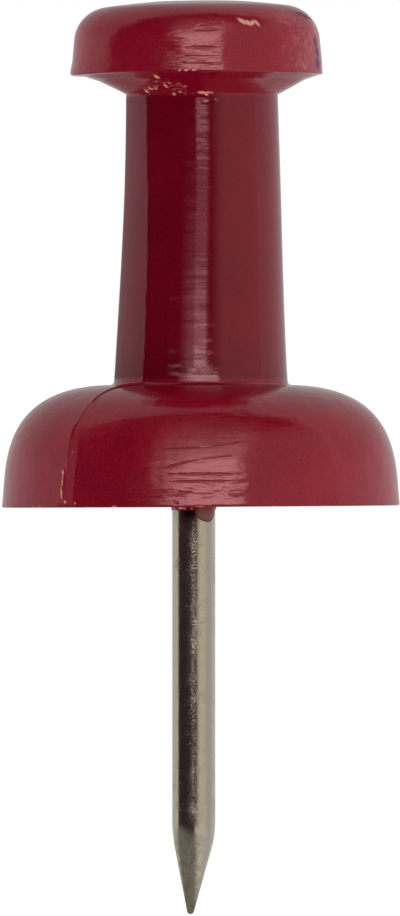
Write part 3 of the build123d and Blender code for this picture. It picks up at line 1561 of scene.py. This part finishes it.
@dataclass
class Handle:
    """The plastic moulding: flange, waisted stem, neck cone and thumb cap.

    The land is the flat ring at the flange's rim, and the flare is the flatter cone between the neck
    and the cap. A round is a radius, and the draft is in degrees. Plain sizes aren't listed.

    Attributes:
        flange_radius: Greatest radius of the flange.
        body_height: Height from the underside to the crown.
        needle: The needle that it is moulded onto.
        finish: Its finish.
        seam: Its mould seams.
        crack: The open end of the front seam.
        collar: The flash round the needle.
        chords: How finely its outline is drawn.
        turn: Angle in degrees and number of steps of each stretch of its turn, finest in front.
        wall_lean: How far the flange's wall leans in over its reach.
        wall_reach: Height over which the dome holds that lean.
        crown_reach: How far the dome stays level out from the stem.
        dome_start: Height from which the dome's curve follows the rim's round.
        hub_radius: Radius of the flat hub round the needle.
        hub_ring: Radius of the hub's inner ring.
        seat_reach: Radius that holds the whole seat of the needle.
        dish_depth: Depth of the sink between hub and land.
        stem_hollow: How far the stem's side curves in.
        foot_flare: How far its foot flares out.
        flare_reach: Height over which it does.
        polish_fade: Height over which the stem's polish sets in.
        cap_x: Place of the cap's axis along X.
        lean: How far the stem bows to the right.
        lean_height: Height where it bows most.
        lean_reach: Height over which the bow fades out, each way.
        crown_lean: Slope of the crown to the right.
        rim_lean: Slope of the flange's rim to the right.
        rim_flash_height: Height of the flash along the flange's rim.
        rim_flash_reach: How far in it reaches.
        rim_flash_turn: Degrees from one change of it to the next.
        rim_flash_pale: How white it is, from 0 to 1.
    """

    flange_radius: float
    body_height: float
    needle: Needle
    finish: CrimsonPlastic = CrimsonPlastic()
    seam: Seam = Seam()
    crack: Crack = Crack()
    collar: Collar = Collar()
    chords: Chords = Chords()
    turn: Sequence[tuple[float, int]] = ((76, 42), (50, 84), (12, 40), (170, 94), (8, 16), (44, 24))
    flange_height: float = 3.05
    wall_lean: float = 0.136
    wall_reach: float = 0.856
    crown_reach: float = 3.0
    rim_round: float = 0.04
    dome_start: float = 0.06
    land_width: float = 0.9
    hub_radius: float = 1.4
    hub_ring: float = 0.9
    seat_reach: float = 1.2
    dish_depth: float = 0.2
    stem_base_radius: float = 2.175
    stem_top_radius: float = 1.905
    stem_length: float = 7.29
    stem_hollow: float = 0.036
    foot_round: float = 0.1
    foot_flare: float = 0.0033
    flare_reach: float = 0.5
    polish_fade: float = 0.1
    neck_height: float = 0.36
    neck_radius: float = 2.58
    flare_height: float = 0.14
    flare_radius: float = 2.99
    cap_radius: float = 3.16
    cap_crown_radius: float = 18.0
    cap_draft: float = 5.0
    cap_edge_round: float = 0.9
    cap_rim_round: float = 0.03
    cap_x: float = -0.105
    lean: float = 0.045
    lean_height: float = 8.2
    lean_reach: float = 5.1
    crown_lean: float = 0.014
    rim_lean: float = 0.006
    rim_flash_height: float = 0.07
    rim_flash_reach: float = 0.15
    rim_flash_turn: float = 1.8
    rim_flash_pale: float = 0.8

    @property
    def wall_angle(self) -> float:
        """Lean of the flange's wall in degrees."""
        return math.degrees(math.atan2(self.wall_lean, self.wall_reach))

    @property
    def foot_radius(self) -> float:
        """Radius where the round at the stem's foot begins."""
        return self.stem_base_radius + self.foot_round + self.foot_flare

    @property
    def stem_top(self) -> float:
        """Height where the stem meets the neck."""
        return self.flange_height + self.stem_length

    @property
    def cap_seat(self) -> float:
        """Height of the cap's underside."""
        return self.stem_top + self.neck_height + self.flare_height

    def underside(self) -> list[Point]:
        """Outline of the underside from the hub to the rim.

        Returns:
            Radius and height of each point.
        """
        outer = self.flange_radius - self.land_width
        half = (outer - self.hub_radius) / 2
        sink = (half**2 - self.dish_depth**2) / (2 * self.dish_depth)
        radius = math.hypot(half, sink)
        reach = math.degrees(math.asin(half / radius))
        centre = (self.hub_radius + half, -sink)
        points = arc(centre, radius, 90 + reach, 90 - reach, self.chords.dish)
        return points + line(points[-1], (self.flange_radius - self.rim_round, 0.0), self.chords.land)

    def dome(self) -> list[Point]:
        """Outline of the flange from its rim to the foot of the stem.

        Returns:
            Radius and height of each point.
        """
        middle = self.flange_radius - self.rim_round
        rim = arc((middle, self.rim_round), self.rim_round, -90, self.wall_angle, self.chords.rim)
        angle = math.radians(self.wall_angle)
        corner = middle + self.rim_round * (math.tan(angle) + 1 / math.cos(angle))
        corners = (
            (corner, 0.0),
            (corner - self.wall_lean, self.wall_reach),
            (self.stem_base_radius + self.crown_reach, self.flange_height),
            (self.stem_base_radius, self.flange_height),
        )
        curve = bezier(corners, self.chords.dome)
        return rim[1:] + [p for p in curve if p[1] > self.dome_start and p[0] > self.foot_radius]

    def stem(self) -> list[Point]:
        """Outline of the stem and the neck, up to the underside of the cap.

        Returns:
            Radius and height of each point.
        """
        chords, top = self.chords, (self.stem_top_radius, self.stem_top)
        middle = (self.foot_radius, self.flange_height + self.foot_round)
        foot = arc(middle, self.foot_round, 270, 180, chords.rim)
        start = foot[-1]
        fine = line(start, top, chords.ends)
        side = []
        closer = fine[: chords.lowest] + fine[-chords.highest :]
        for radius, height in line(start, top, chords.stem) + closer:
            share = (height - start[1]) / (top[1] - start[1])
            flare = max(0.0, 1 - (height - start[1]) / self.flare_reach) ** 2 * self.foot_flare
            side.append((radius - 4 * self.stem_hollow * share * (1 - share) + flare, height))
        side = sorted({(round(r, 6), round(z, 6)) for r, z in side}, key=lambda point: point[1])
        neck = (self.neck_radius, self.stem_top + self.neck_height)
        flare_side = line(neck, (self.flare_radius, self.cap_seat), chords.flare)
        return foot + side + line(top, neck, chords.neck) + flare_side

    def cap(self) -> list[Point]:
        """Outline of the cap from its underside to the crown.

        Returns:
            Radius and height of each point.
        """
        chords, draft = self.chords, math.radians(self.cap_draft)
        out, up = (math.cos(draft), math.sin(draft)), (-math.sin(draft), math.cos(draft))
        sphere = self.body_height - self.cap_crown_radius
        start = (
            self.cap_radius - self.cap_edge_round * out[0],
            self.cap_seat - self.cap_edge_round * out[1] - sphere,
        )
        half = start[0] * up[0] + start[1] * up[1]
        reach = (self.cap_crown_radius - self.cap_edge_round) ** 2 - start[0] ** 2 - start[1] ** 2
        rise = -half + math.sqrt(half**2 + reach)
        centre = (start[0] + rise * up[0], start[1] + rise * up[1] + sphere)
        crown = math.degrees(math.atan2(centre[1] - sphere, centre[0]))
        edge = arc(centre, self.cap_edge_round, self.cap_draft, crown, chords.cap_edge)
        rim = (self.cap_radius - self.cap_rim_round, self.cap_seat + self.cap_rim_round)
        points = arc(rim, self.cap_rim_round, -90, self.cap_draft, chords.cap_rim)
        wall = line(points[-1], edge[0], chords.wall)
        upper = chords.wall_low + chords.wall_stride // 2
        points += wall[: chords.wall_low] + wall[upper :: chords.wall_stride] + edge[1:]
        return points + arc((0.0, sphere), self.cap_crown_radius, crown, 90, chords.crown)[1:]

    def build(self) -> bpy.types.Object:
        """Models the handle.

        Returns:
            The finished piece.
        """
        points = self.underside() + self.dome() + self.stem() + self.cap()
        piece = start_outline("handle_moulding", points, 0.0)
        spin_outline(piece, 0.0, self.turn)
        self.shift_cap(piece)
        self.tilt_ends(piece)
        self.lean_stem(piece)
        self.seat_needle(piece)
        self.raise_flash(piece)
        self.hang_collar(piece)
        finish_piece(piece, self.finish.material(self.cap_x), "handle")
        return piece

    def shift_cap(self, piece: bpy.types.Object) -> None:
        """Moves the cap onto the axis of its own mould plate.

        Args:
            piece: The moulding.
        """
        surface = Surface(piece)
        under = (surface.height > self.cap_seat - NEAR) & (surface.radius > self.flare_radius + NEAR)
        surface.select(under | (surface.height > self.cap_seat + NEAR))
        with editing(piece):
            bpy.ops.transform.translate(value=(self.cap_x * MM, 0, 0))

    def tilt_ends(self, piece: bpy.types.Object) -> None:
        """Tips the cap's crown and the flange's rim a little, low on the left and high on the right.

        Args:
            piece: The moulding.
        """
        surface = Surface(piece, self.cap_x)
        across = surface.radius * np.sin(np.radians(surface.azimuth))
        share = np.clip((surface.height - self.cap_seat) / (self.body_height - self.cap_seat), 0, 1)
        foot = np.clip(1 - surface.height / (self.flange_height / 2), 0, 1)
        beyond_hub = Surface(piece).radius - self.hub_radius
        foot *= np.clip(beyond_hub / (self.flange_radius - self.hub_radius), 0, 1)
        displace(piece, across * (self.crown_lean * share**2 + self.rim_lean * foot), "Z")

    def lean_stem(self, piece: bpy.types.Object) -> None:
        """Bows the stem a little to one side, as it came out of its mould.

        Args:
            piece: The moulding.
        """
        surface = Surface(piece)
        off = np.abs(surface.height - self.lean_height)
        surface.select(off < off.min() + NEAR)
        with editing(piece):
            bpy.ops.transform.translate(
                value=(self.lean * MM, 0, 0),
                use_proportional_edit=True,
                proportional_edit_falloff="SMOOTH",
                proportional_size=self.lean_reach * MM,
            )

    def seat_needle(self, piece: bpy.types.Object) -> None:
        """Carries the hub in to the needle, down in a collar and up round its barbs.

        Args:
            piece: The moulding.
        """
        surface = Surface(piece)
        surface.select((surface.height < NEAR) & (surface.radius < self.hub_radius + NEAR))
        axis, wire, collar = self.needle.axis_x, self.needle.radius, self.collar
        rings = [(self.hub_ring, 0.0)]
        rings += [(wire + out, -share * collar.drop) for out, share in collar.rings]
        with editing(piece):
            radius, height, x = self.hub_radius, 0.0, 0.0
            for ring_radius, ring_height in rings + self.needle.embedded():
                step = ((axis - x) * MM, 0, (ring_height - height) * MM)
                bpy.ops.mesh.extrude_edges_move(TRANSFORM_OT_translate={"value": step})
                share = ring_radius / radius
                centre = (axis * MM, 0, ring_height * MM)
                bpy.ops.transform.resize(value=(share, share, 1), center_override=centre)
                radius, height, x = ring_radius, ring_height, axis
            bpy.ops.mesh.edge_face_add()
            bpy.ops.mesh.select_all(action="SELECT")
            bpy.ops.mesh.normals_make_consistent(inside=False)

    def raise_flash(self, piece: bpy.types.Object) -> None:
        """Raises the mould seams, the flash and the crumbs, and opens the crack in the seam.

        Args:
            piece: The moulding.
        """
        surface, wire = Surface(piece), Surface(piece, self.needle.axis_x)
        relief = Relief(np.zeros(len(surface.height)), np.zeros(len(surface.height)))
        outside = self.outside(surface)
        band = self.raise_seams(surface, outside, relief)
        relief.add(self.rim_flash(surface), 0.0, self.rim_flash_pale)
        around_cap = Surface(piece, self.cap_x)
        for bumps, around in ((BODY_CRUMBS, surface), (CAP_CRUMBS, around_cap), (BODY_THREADS, surface)):
            for bump in bumps:
                relief.add(bump.shape(around) * outside, bump.rise, bump.pale)
        relief.add(self.collar.flash(wire, self.hub_radius), 0.0, self.collar.pale)
        crack = self.crack.shape(surface) * (surface.radius > self.stem_base_radius)
        self.mark_polish(surface)
        store(piece, "flash", relief.pale)
        store(piece, "seam", band)
        # The finish colours the crack with painted shade.
        store(piece, "crack", crack)
        displace(piece, relief.rise - self.crack.depth * crack)

    def outside(self, surface: Surface) -> np.ndarray:
        """Finds what lies clear of the needle's seat and of the sink in the underside.

        Args:
            surface: The moulding.

        Returns:
            Whether each vertex does.
        """
        above = surface.height > 2 * self.dish_depth
        land = surface.radius > self.flange_radius - self.land_width / 2
        return (surface.radius > self.seat_reach) & (above | land)

    def raise_seams(self, surface: Surface, outside: np.ndarray, relief: Relief) -> np.ndarray:
        """Raises both mould seams, with a step on either side of the front one.

        Args:
            surface: The moulding.
            outside: Which of its vertices may be raised.
            relief: The relief that the seams add to.

        Returns:
            The rubbed band beside the front seam, from 0 to 1.
        """
        seam, height = self.seam, surface.height
        side = (height > seam.start) & outside & (height < self.stem_top)
        for number in (0, 1):
            relief.add(seam.ridge(surface, number) * side, seam.ridge_rise, seam.ridge_pale)
        offset = seam.offset(surface, 0)
        near = np.clip(1 - np.abs(offset) / seam.fade, 0, 1) ** 2 * side
        on_flange = np.clip((self.flange_height - height) / seam.top_fade, 0, 1)
        step = np.where(offset < 0, seam.left_step, seam.right_step * on_flange)
        relief.rise += step * near * np.clip(height / seam.rim_fade, 0, 1)
        band = (offset > 0) & (offset < seam.band_width) & side
        return band * np.clip((seam.band_top - height) / seam.band_fade, 0, 1)

    def rim_flash(self, surface: Surface) -> np.ndarray:
        """Scatters specks of flash along the flange's rim.

        Args:
            surface: The moulding.

        Returns:
            The flash at each vertex, from 0 to 1.
        """
        rim = bump_shape(surface.height / self.rim_flash_height)
        rim *= surface.radius > self.flange_radius - self.rim_flash_reach
        return rim * ragged_turn(surface.azimuth, self.rim_flash_turn, Draw.RIM) ** 4

    def mark_polish(self, surface: Surface) -> None:
        """Keeps where the mould was polished, on the stem, which the finish also darkens as painted shade,
        and which side of that is dull, which it lightens as a painted sheen.

        Args:
            surface: The moulding.
        """
        low, high = self.flange_height + self.foot_round, self.stem_top
        sleek_shaded = np.clip((surface.height - low) / self.polish_fade, 0, 1)
        sleek_shaded *= np.clip((high - surface.height) / self.polish_fade, 0, 1)
        sleek_shaded *= surface.radius < self.stem_base_radius + self.polish_fade / 2
        left = (surface.azimuth - self.seam.azimuth(surface.height)) % 360 > 180 + self.seam.back
        store(surface.piece, "sleek_shaded", sleek_shaded)
        store(surface.piece, "dull", sleek_shaded * left)

    def hang_collar(self, piece: bpy.types.Object) -> None:
        """Draws the collar down the needle in lumps, with one thin tongue at its front.

        Args:
            piece: The moulding.
        """
        surface, collar = Surface(piece, self.needle.axis_x), self.collar
        hang = np.interp(-surface.height / collar.drop, (collar.stiff, 1), (0, 1))
        hang *= surface.radius < self.hub_radius
        tongue = np.sqrt(np.clip(1 - collar.turn(surface) ** 2, 0, None)) * hang
        lumps = ragged_turn(surface.azimuth, collar.lump_turn, Draw.LUMPS) * hang
        film = np.clip(collar.film_gain * tongue, 0, 1)
        store(piece, "film", film)
        # The tongue's lowest edge, which the finish darkens as a painted shadow.
        store(piece, "edge", film * (hang > ALMOST))
        displace(piece, -(collar.tongue_drop * tongue + collar.drop * lumps), "Z")


# Studio


@dataclass(frozen=True)
class Softbox:
    """A soft lamp that fills a window of the view from the object.

    Attributes:
        name: Name of the lamp.
        azimuths: First and last azimuth in degrees.
        profile: Elevations in degrees from the foot up, each with the brightness there; 1 is white.
        feather: Degrees over which it fades out at its left and at its right.
        slats: Degrees from one dark slat across its face to the next, 0 for none.
        slat_edge: Share of that at which a slat begins to fade, and at which it ends.
        colour: Tint of its light.
        distance: Distance from the object in metres.
    """

    name: str
    azimuths: Point
    profile: tuple[Point, ...]
    feather: Point
    slats: float = 0.0
    slat_edge: Point = (0.12, 0.24)
    colour: Colour = (1.0, 1.0, 1.0)
    distance: float = 0.5

    @property
    def elevations(self) -> Point:
        """First and last elevation in degrees."""
        return self.profile[0][0], self.profile[-1][0]

    @property
    def peak(self) -> float:
        """Brightness of its brightest part."""
        return max(level for _, level in self.profile)

    def build(self, aim: Vector) -> bpy.types.Object:
        """Hangs the lamp.

        Args:
            aim: The point that it faces, in metres.

        Returns:
            The lamp.
        """
        azimuth, elevation = (math.radians(sum(pair) / 2) for pair in (self.azimuths, self.elevations))
        width, height = (
            2 * self.distance * math.tan(math.radians(pair[1] - pair[0]) / 2)
            for pair in (self.azimuths, self.elevations)
        )
        level = math.cos(elevation)
        out = Vector((math.sin(azimuth) * level, -math.cos(azimuth) * level, math.sin(elevation)))
        lamp = bpy.data.lights.new(self.name, "AREA")
        lamp.shape = "RECTANGLE"
        lamp.size, lamp.size_y = width, height
        lamp.energy = math.pi * self.peak * width * height
        lamp.color = self.colour
        self.shape_face(lamp)
        made = bpy.data.objects.new(self.name, lamp)
        bpy.context.scene.collection.objects.link(made)
        made.location = aim + out * self.distance
        made.rotation_mode = "QUATERNION"
        made.rotation_quaternion = (-out).to_track_quat("-Z", "Y")
        made.visible_camera = False
        return made

    def shape_face(self, lamp: bpy.types.AreaLight) -> None:
        """Lets the face follow the profile upwards and fade out at its sides.

        Args:
            lamp: The lamp.
        """
        lamp.use_nodes = True
        bench = Bench(lamp.node_tree)
        place = bench.node("ShaderNodeNewGeometry").outputs["Parametric"]
        across, up, _ = bench.split(place)
        left, right = (degrees / (self.azimuths[1] - self.azimuths[0]) for degrees in self.feather)
        fade = bench.smooth(bench.minus(1.0, across), 0.0, right)
        fade = bench.times(bench.smooth(across, 0.0, left), fade)
        ramp = bench.node("ShaderNodeValToRGB", {0: up})
        low, high = self.elevations
        if self.slats:
            turns = bench.times(up, (high - low) / self.slats)
            gap = bench.smooth(bench.math("PINGPONG", turns, 0.5), *self.slat_edge)
            fade = bench.times(fade, gap)
        reach = 2 * math.tan(math.radians(high - low) / 2)
        for angle, _ in self.profile[1:-1]:
            share = 0.5 + math.tan(math.radians(angle - (low + high) / 2)) / reach
            ramp.color_ramp.elements.new(share)
        for stop, (_, level) in zip(ramp.color_ramp.elements, self.profile):
            stop.color = (*(level / self.peak,) * 3, 1.0)
        face = next(node for node in lamp.node_tree.nodes if node.type == "EMISSION")
        bench.feed(bench.times(fade, ramp.outputs[0]), face.inputs["Strength"])


@dataclass
class Studio:
    """Pale floor, white backdrop, soft lamps and the camera.

    Directions in the room are shares of a unit vector: beside to the right, behind to the back
    and above upwards. A pair of places gives where a change begins and where it ends.

    Attributes:
        low: Lowest corner of the object in metres.
        high: Highest corner of the object in metres.
        frame_height: Height of the picture at the object's axis.
        camera_x: Place of the camera along X.
        camera_z: Height of the camera.
        lens: Focal length of the lens.
        sensor: Long side of the sensor.
        clip: Nearest and farthest distance that the camera sees, in metres.
        floor_gap: Gap between the needle's tip and the floor.
        floor_steps: Sides of the floor's disc.
        floor_glow: Light that the floor adds for the camera.
        floor_fade: Share of the floor's radius at which it begins to fade out.
        floor_level: Brightness of the floor in a reflection, below the object.
        ahead_level: Share of that in front of the object.
        ahead_edge: Where that share begins, along Y.
        beyond_level: Share of the backdrop's brightness behind the object.
        beyond_edge: Where that share begins, along Y.
        aside_edge: Where the floor turns as bright as the backdrop, along X.
        room: Colour of the room in front, in a reflection.
        backdrop: Brightness of the backdrop in a reflection, on the right.
        backdrop_left: Its brightness on the left.
        right_edge: Where left turns into right, beside.
        backdrop_edge: Where the backdrop begins, behind.
        softer: How much softer that edge is on the left, higher up.
        dim: How much dimmer the backdrop is in a band above the object.
        dim_foot: Lower edge of that band, above.
        dim_top: Its upper edge.
        under: Share of the backdrop's brightness below the object, on the left and on the right.
        under_edge: Where that share begins, above.
        ambient: Brightness of the tent in front, as the light on matte surfaces.
        tent: Its brightness behind.
        tent_edge: Where that begins, behind.
        falloff: Its share below and above.
        falloff_edge: Where those lie, above.
    """

    low: Vector
    high: Vector
    frame_height: float = 22.99
    camera_x: float = -0.021
    camera_z: float = 1.217
    lens: float = 640.0
    sensor: float = 36.0
    clip: Point = (0.01, 10.0)
    floor_radius: float = 28.0
    floor_gap: float = 0.01
    floor_steps: int = 96
    floor_colour: Colour = (0.8, 0.8, 0.8)
    floor_roughness: float = 0.9
    floor_glow: float = 0.5
    floor_fade: float = 0.6
    floor_level: float = 0.19
    ahead_level: float = 0.15
    ahead_edge: Point = (-14.0, -3.0)
    beyond_level: float = 0.7
    beyond_edge: Point = (0.5, 4.0)
    aside_edge: Point = (0.2, 2.0)
    room: Colour = (0.032, 0.018, 0.021)
    backdrop: float = 0.58
    backdrop_left: float = 0.52
    right_edge: Point = (-0.2, 0.2)
    backdrop_edge: Point = (-0.04, 0.08)
    softer: float = 0.12
    dim: float = 0.16
    dim_foot: Point = (0.15, 0.24)
    dim_top: Point = (0.5, 0.8)
    under: Point = (0.33, 0.6)
    under_edge: Point = (-0.32, -0.12)
    ambient: float = 0.5
    tent: float = 2.3
    tent_edge: Point = (-0.5, 0.5)
    falloff: Point = (1.5, 0.35)
    falloff_edge: Point = (-0.4, 0.65)
    lamps: Sequence[Softbox] = (
        Softbox(
            "front_softbox",
            (-34, 29),
            (
                (13, 0), (15.5, 3.6), (18.5, 3.4), (24, 1.85), (31, 1.4),
                (40, 0.9), (51, 0.54), (62, 0.32), (75, 0.12), (80, 0),
            ),
            (34, 8),
        ),
        Softbox("low_softbox", (-22, 26), ((8.0, 0), (8.8, 5.2), (10.4, 5.2), (11.2, 0)), (15, 10)),
        Softbox("cap_softbox", (-34, 27), ((10.4, 0), (11.2, 3.6), (13, 3.7), (15.5, 0)), (24, 10)),
        Softbox("front_lip", (-48, 18), ((7.7, 0), (8.1, 1.1), (8.7, 1.2), (9.1, 0)), (22, 8)),
        Softbox(
            "strip_skirt",
            (-32, 9),
            ((4.4, 0), (4.8, 0.1), (5.4, 0.18), (5.9, 0.4), (6.3, 0.65), (6.8, 1.2), (7.4, 1.6), (7.8, 0)),
            (28, 6),
        ),
        Softbox(
            "front_strip",
            (-11.5, 13.5),
            (
                (3.2, 0), (3.6, 1.4), (4.1, 2.3), (4.4, 2.6), (4.7, 0.9), (5.0, 0.5), (5.6, 0.55),
                (6.1, 0.6), (6.4, 0.65), (6.65, 1.1), (6.9, 2.1), (7.4, 2.6), (7.8, 2.1), (8.0, 0),
            ),
            (5, 9),
            slats=0.9,
        ),
        Softbox(
            "right_softbox",
            (10, 94),
            ((-39, 0), (-36, 0.53), (38, 0.53), (46, 0.36), (56, 0)),
            (28, 7),
            colour=(1.0, 0.96, 0.88),
        ),
    )

    def build(self) -> None:
        """Sets up the floor, the backdrop, the lamps and the camera."""
        self.lay_floor()
        self.light_world()
        aim = (self.low + self.high) / 2
        for lamp in self.lamps:
            lamp.build(aim)
        self.place_camera()
        bpy.context.scene.view_settings.view_transform = "Standard"

    def lay_floor(self) -> None:
        """Lays a pale disc at the needle's tip, which fades out at its edge and from below."""
        bpy.ops.object.select_all(action="DESELECT")
        bpy.ops.mesh.primitive_circle_add(
            vertices=self.floor_steps,
            radius=self.floor_radius * MM,
            fill_type="NGON",
            location=(0, 0, self.low.z - self.floor_gap * MM),
        )
        floor = bpy.context.object
        floor.name = "floor"
        material, bench, shader = new_finish("floor")
        shader.inputs["Base Color"].default_value = (*self.floor_colour, 1.0)
        shader.inputs["Roughness"].default_value = self.floor_roughness
        shader.inputs["Specular IOR Level"].default_value = 0.0
        here = bench.node("ShaderNodeTexCoord").outputs["Object"]
        far = bench.node("ShaderNodeVectorMath", {0: here}, operation="LENGTH").outputs["Value"]
        edge = self.floor_radius * MM
        faded = bench.smooth(far, self.floor_fade * edge, edge)
        share = bench.most(bench.node("ShaderNodeNewGeometry").outputs["Backfacing"], faded)
        clear = bench.node("ShaderNodeBsdfTransparent").outputs[0]
        face = self.floor_face(bench, shader.outputs[0], here)
        both = bench.node("ShaderNodeMixShader", {0: share, 1: face, 2: clear})
        end = next(node for node in bench.tree.nodes if node.type == "OUTPUT_MATERIAL")
        bench.feed(both.outputs[0], end.inputs["Surface"])
        floor.data.materials.append(material)

    def floor_face(self, bench: Bench, matte: Socket, here: Socket) -> Socket:
        """Makes the floor's face, a little brighter for the camera and set apart for reflections.

        Args:
            bench: The floor's bench.
            matte: The plain matte shader.
            here: The place on the floor in metres.

        Returns:
            The shader of the face.
        """
        path = bench.node("ShaderNodeLightPath").outputs
        beside, behind, _ = bench.split(here)
        ahead, beyond, aside = (
            bench.smooth(value, first * MM, last * MM)
            for value, (first, last) in (
                (behind, self.ahead_edge), (behind, self.beyond_edge), (beside, self.aside_edge),
            )
        )
        bright = bench.most(aside, bench.times(beyond, self.beyond_level))
        below = bench.times(bench.span(ahead, self.ahead_level, 1.0), self.floor_level)
        level = bench.span(bright, below, self.backdrop)
        shown, glow = (
            bench.node("ShaderNodeEmission", {"Color": (1, 1, 1, 1), "Strength": strength}).outputs[0]
            for strength in (level, self.floor_glow)
        )
        lit = bench.node("ShaderNodeAddShader", {0: matte, 1: glow}).outputs[0]
        face = bench.node("ShaderNodeMixShader", {0: path["Is Camera Ray"], 1: matte, 2: lit}).outputs[0]
        mirrored = bench.most(path["Is Glossy Ray"], path["Is Transmission Ray"])
        return bench.node("ShaderNodeMixShader", {0: mirrored, 1: face, 2: shown}).outputs[0]

    def light_world(self) -> None:
        """Lights the room as a soft tent does, with a white backdrop behind the object."""
        world = bpy.data.worlds.new("studio")
        world.use_nodes = True
        bpy.context.scene.world = world
        bench = Bench(world.node_tree)
        path = bench.node("ShaderNodeLightPath").outputs
        way = bench.split(bench.node("ShaderNodeTexCoord").outputs["Generated"])
        _, behind, above = way
        mirrored = bench.most(path["Is Glossy Ray"], path["Is Transmission Ray"])
        soft = bench.span(bench.smooth(behind, *self.tent_edge), self.ambient, self.tent)
        fall = bench.span(bench.smooth(above, *self.falloff_edge), *self.falloff)
        seen = bench.mix(mirrored, bench.times(soft, fall), self.mirrored_room(bench, way))
        seen = bench.mix(path["Is Camera Ray"], seen, (1.0, 1.0, 1.0))
        background = next(node for node in world.node_tree.nodes if node.type == "BACKGROUND")
        bench.feed(seen, background.inputs["Color"])

    def mirrored_room(self, bench: Bench, way: Sequence[Socket]) -> Socket:
        """Paints the room as reflections show it, with the backdrop in its back half.

        Args:
            bench: The world's bench.
            way: The direction, beside, behind and above.

        Returns:
            The colour in that direction.
        """
        beside, behind, above = way
        right = bench.smooth(beside, *self.right_edge)
        white = bench.mix(right, (self.backdrop_left,) * 3, (self.backdrop,) * 3)
        under = bench.span(right, *self.under)
        white = bench.mix(
            bench.span(bench.smooth(above, *self.under_edge), under, 1.0), self.room, white
        )
        higher = bench.smooth(above, *self.dim_foot)
        band = bench.minus(higher, bench.smooth(above, *self.dim_top))
        white = bench.mix(bench.times(band, self.dim), white, self.room)
        first, last = self.backdrop_edge
        softer = bench.times(higher, bench.span(right, self.softer, 0.0))
        into = bench.over(bench.minus(behind, last), bench.plus(softer, last - first))
        return bench.mix(bench.smooth(into, -1.0, 0.0), self.room, white)

    def place_camera(self) -> None:
        """Places the camera level with the flange, in front, with a long lens."""
        data = bpy.data.cameras.new("camera")
        data.lens = self.lens
        data.sensor_width = self.sensor
        camera = bpy.data.objects.new("camera", data)
        bpy.context.scene.collection.objects.link(camera)
        distance = self.frame_height * self.lens / self.sensor
        camera.location = (self.camera_x * MM, -distance * MM, self.camera_z * MM)
        camera.rotation_euler = (math.radians(90), 0, 0)
        data.clip_start, data.clip_end = self.clip
        bpy.context.scene.camera = camera


def main() -> None:
    """Builds the needle, the handle and the studio."""
    logging.basicConfig(level=logging.INFO, format="%(name)s: %(message)s")
    mount = next(m for m in frame["record"]["mounts"] if m["name"] == "needle")
    needle = Needle(
        axis_x=mount["pos_m"][0] / MM,
        radius=mount["dims"]["r_mm"],
        shank=mount["dims"]["length_mm"],
        projection=-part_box("needle")[0].z / MM,
    )
    low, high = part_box("handle")
    handle = Handle(
        flange_radius=min(-low.x, -low.y, high.x, high.y) / MM,
        body_height=high.z / MM - BOX_MARGIN,
        needle=needle,
    )
    needle.build()
    handle.build()
    Studio(*CAD_BOX).build()


if __name__ == "__main__":
    main()
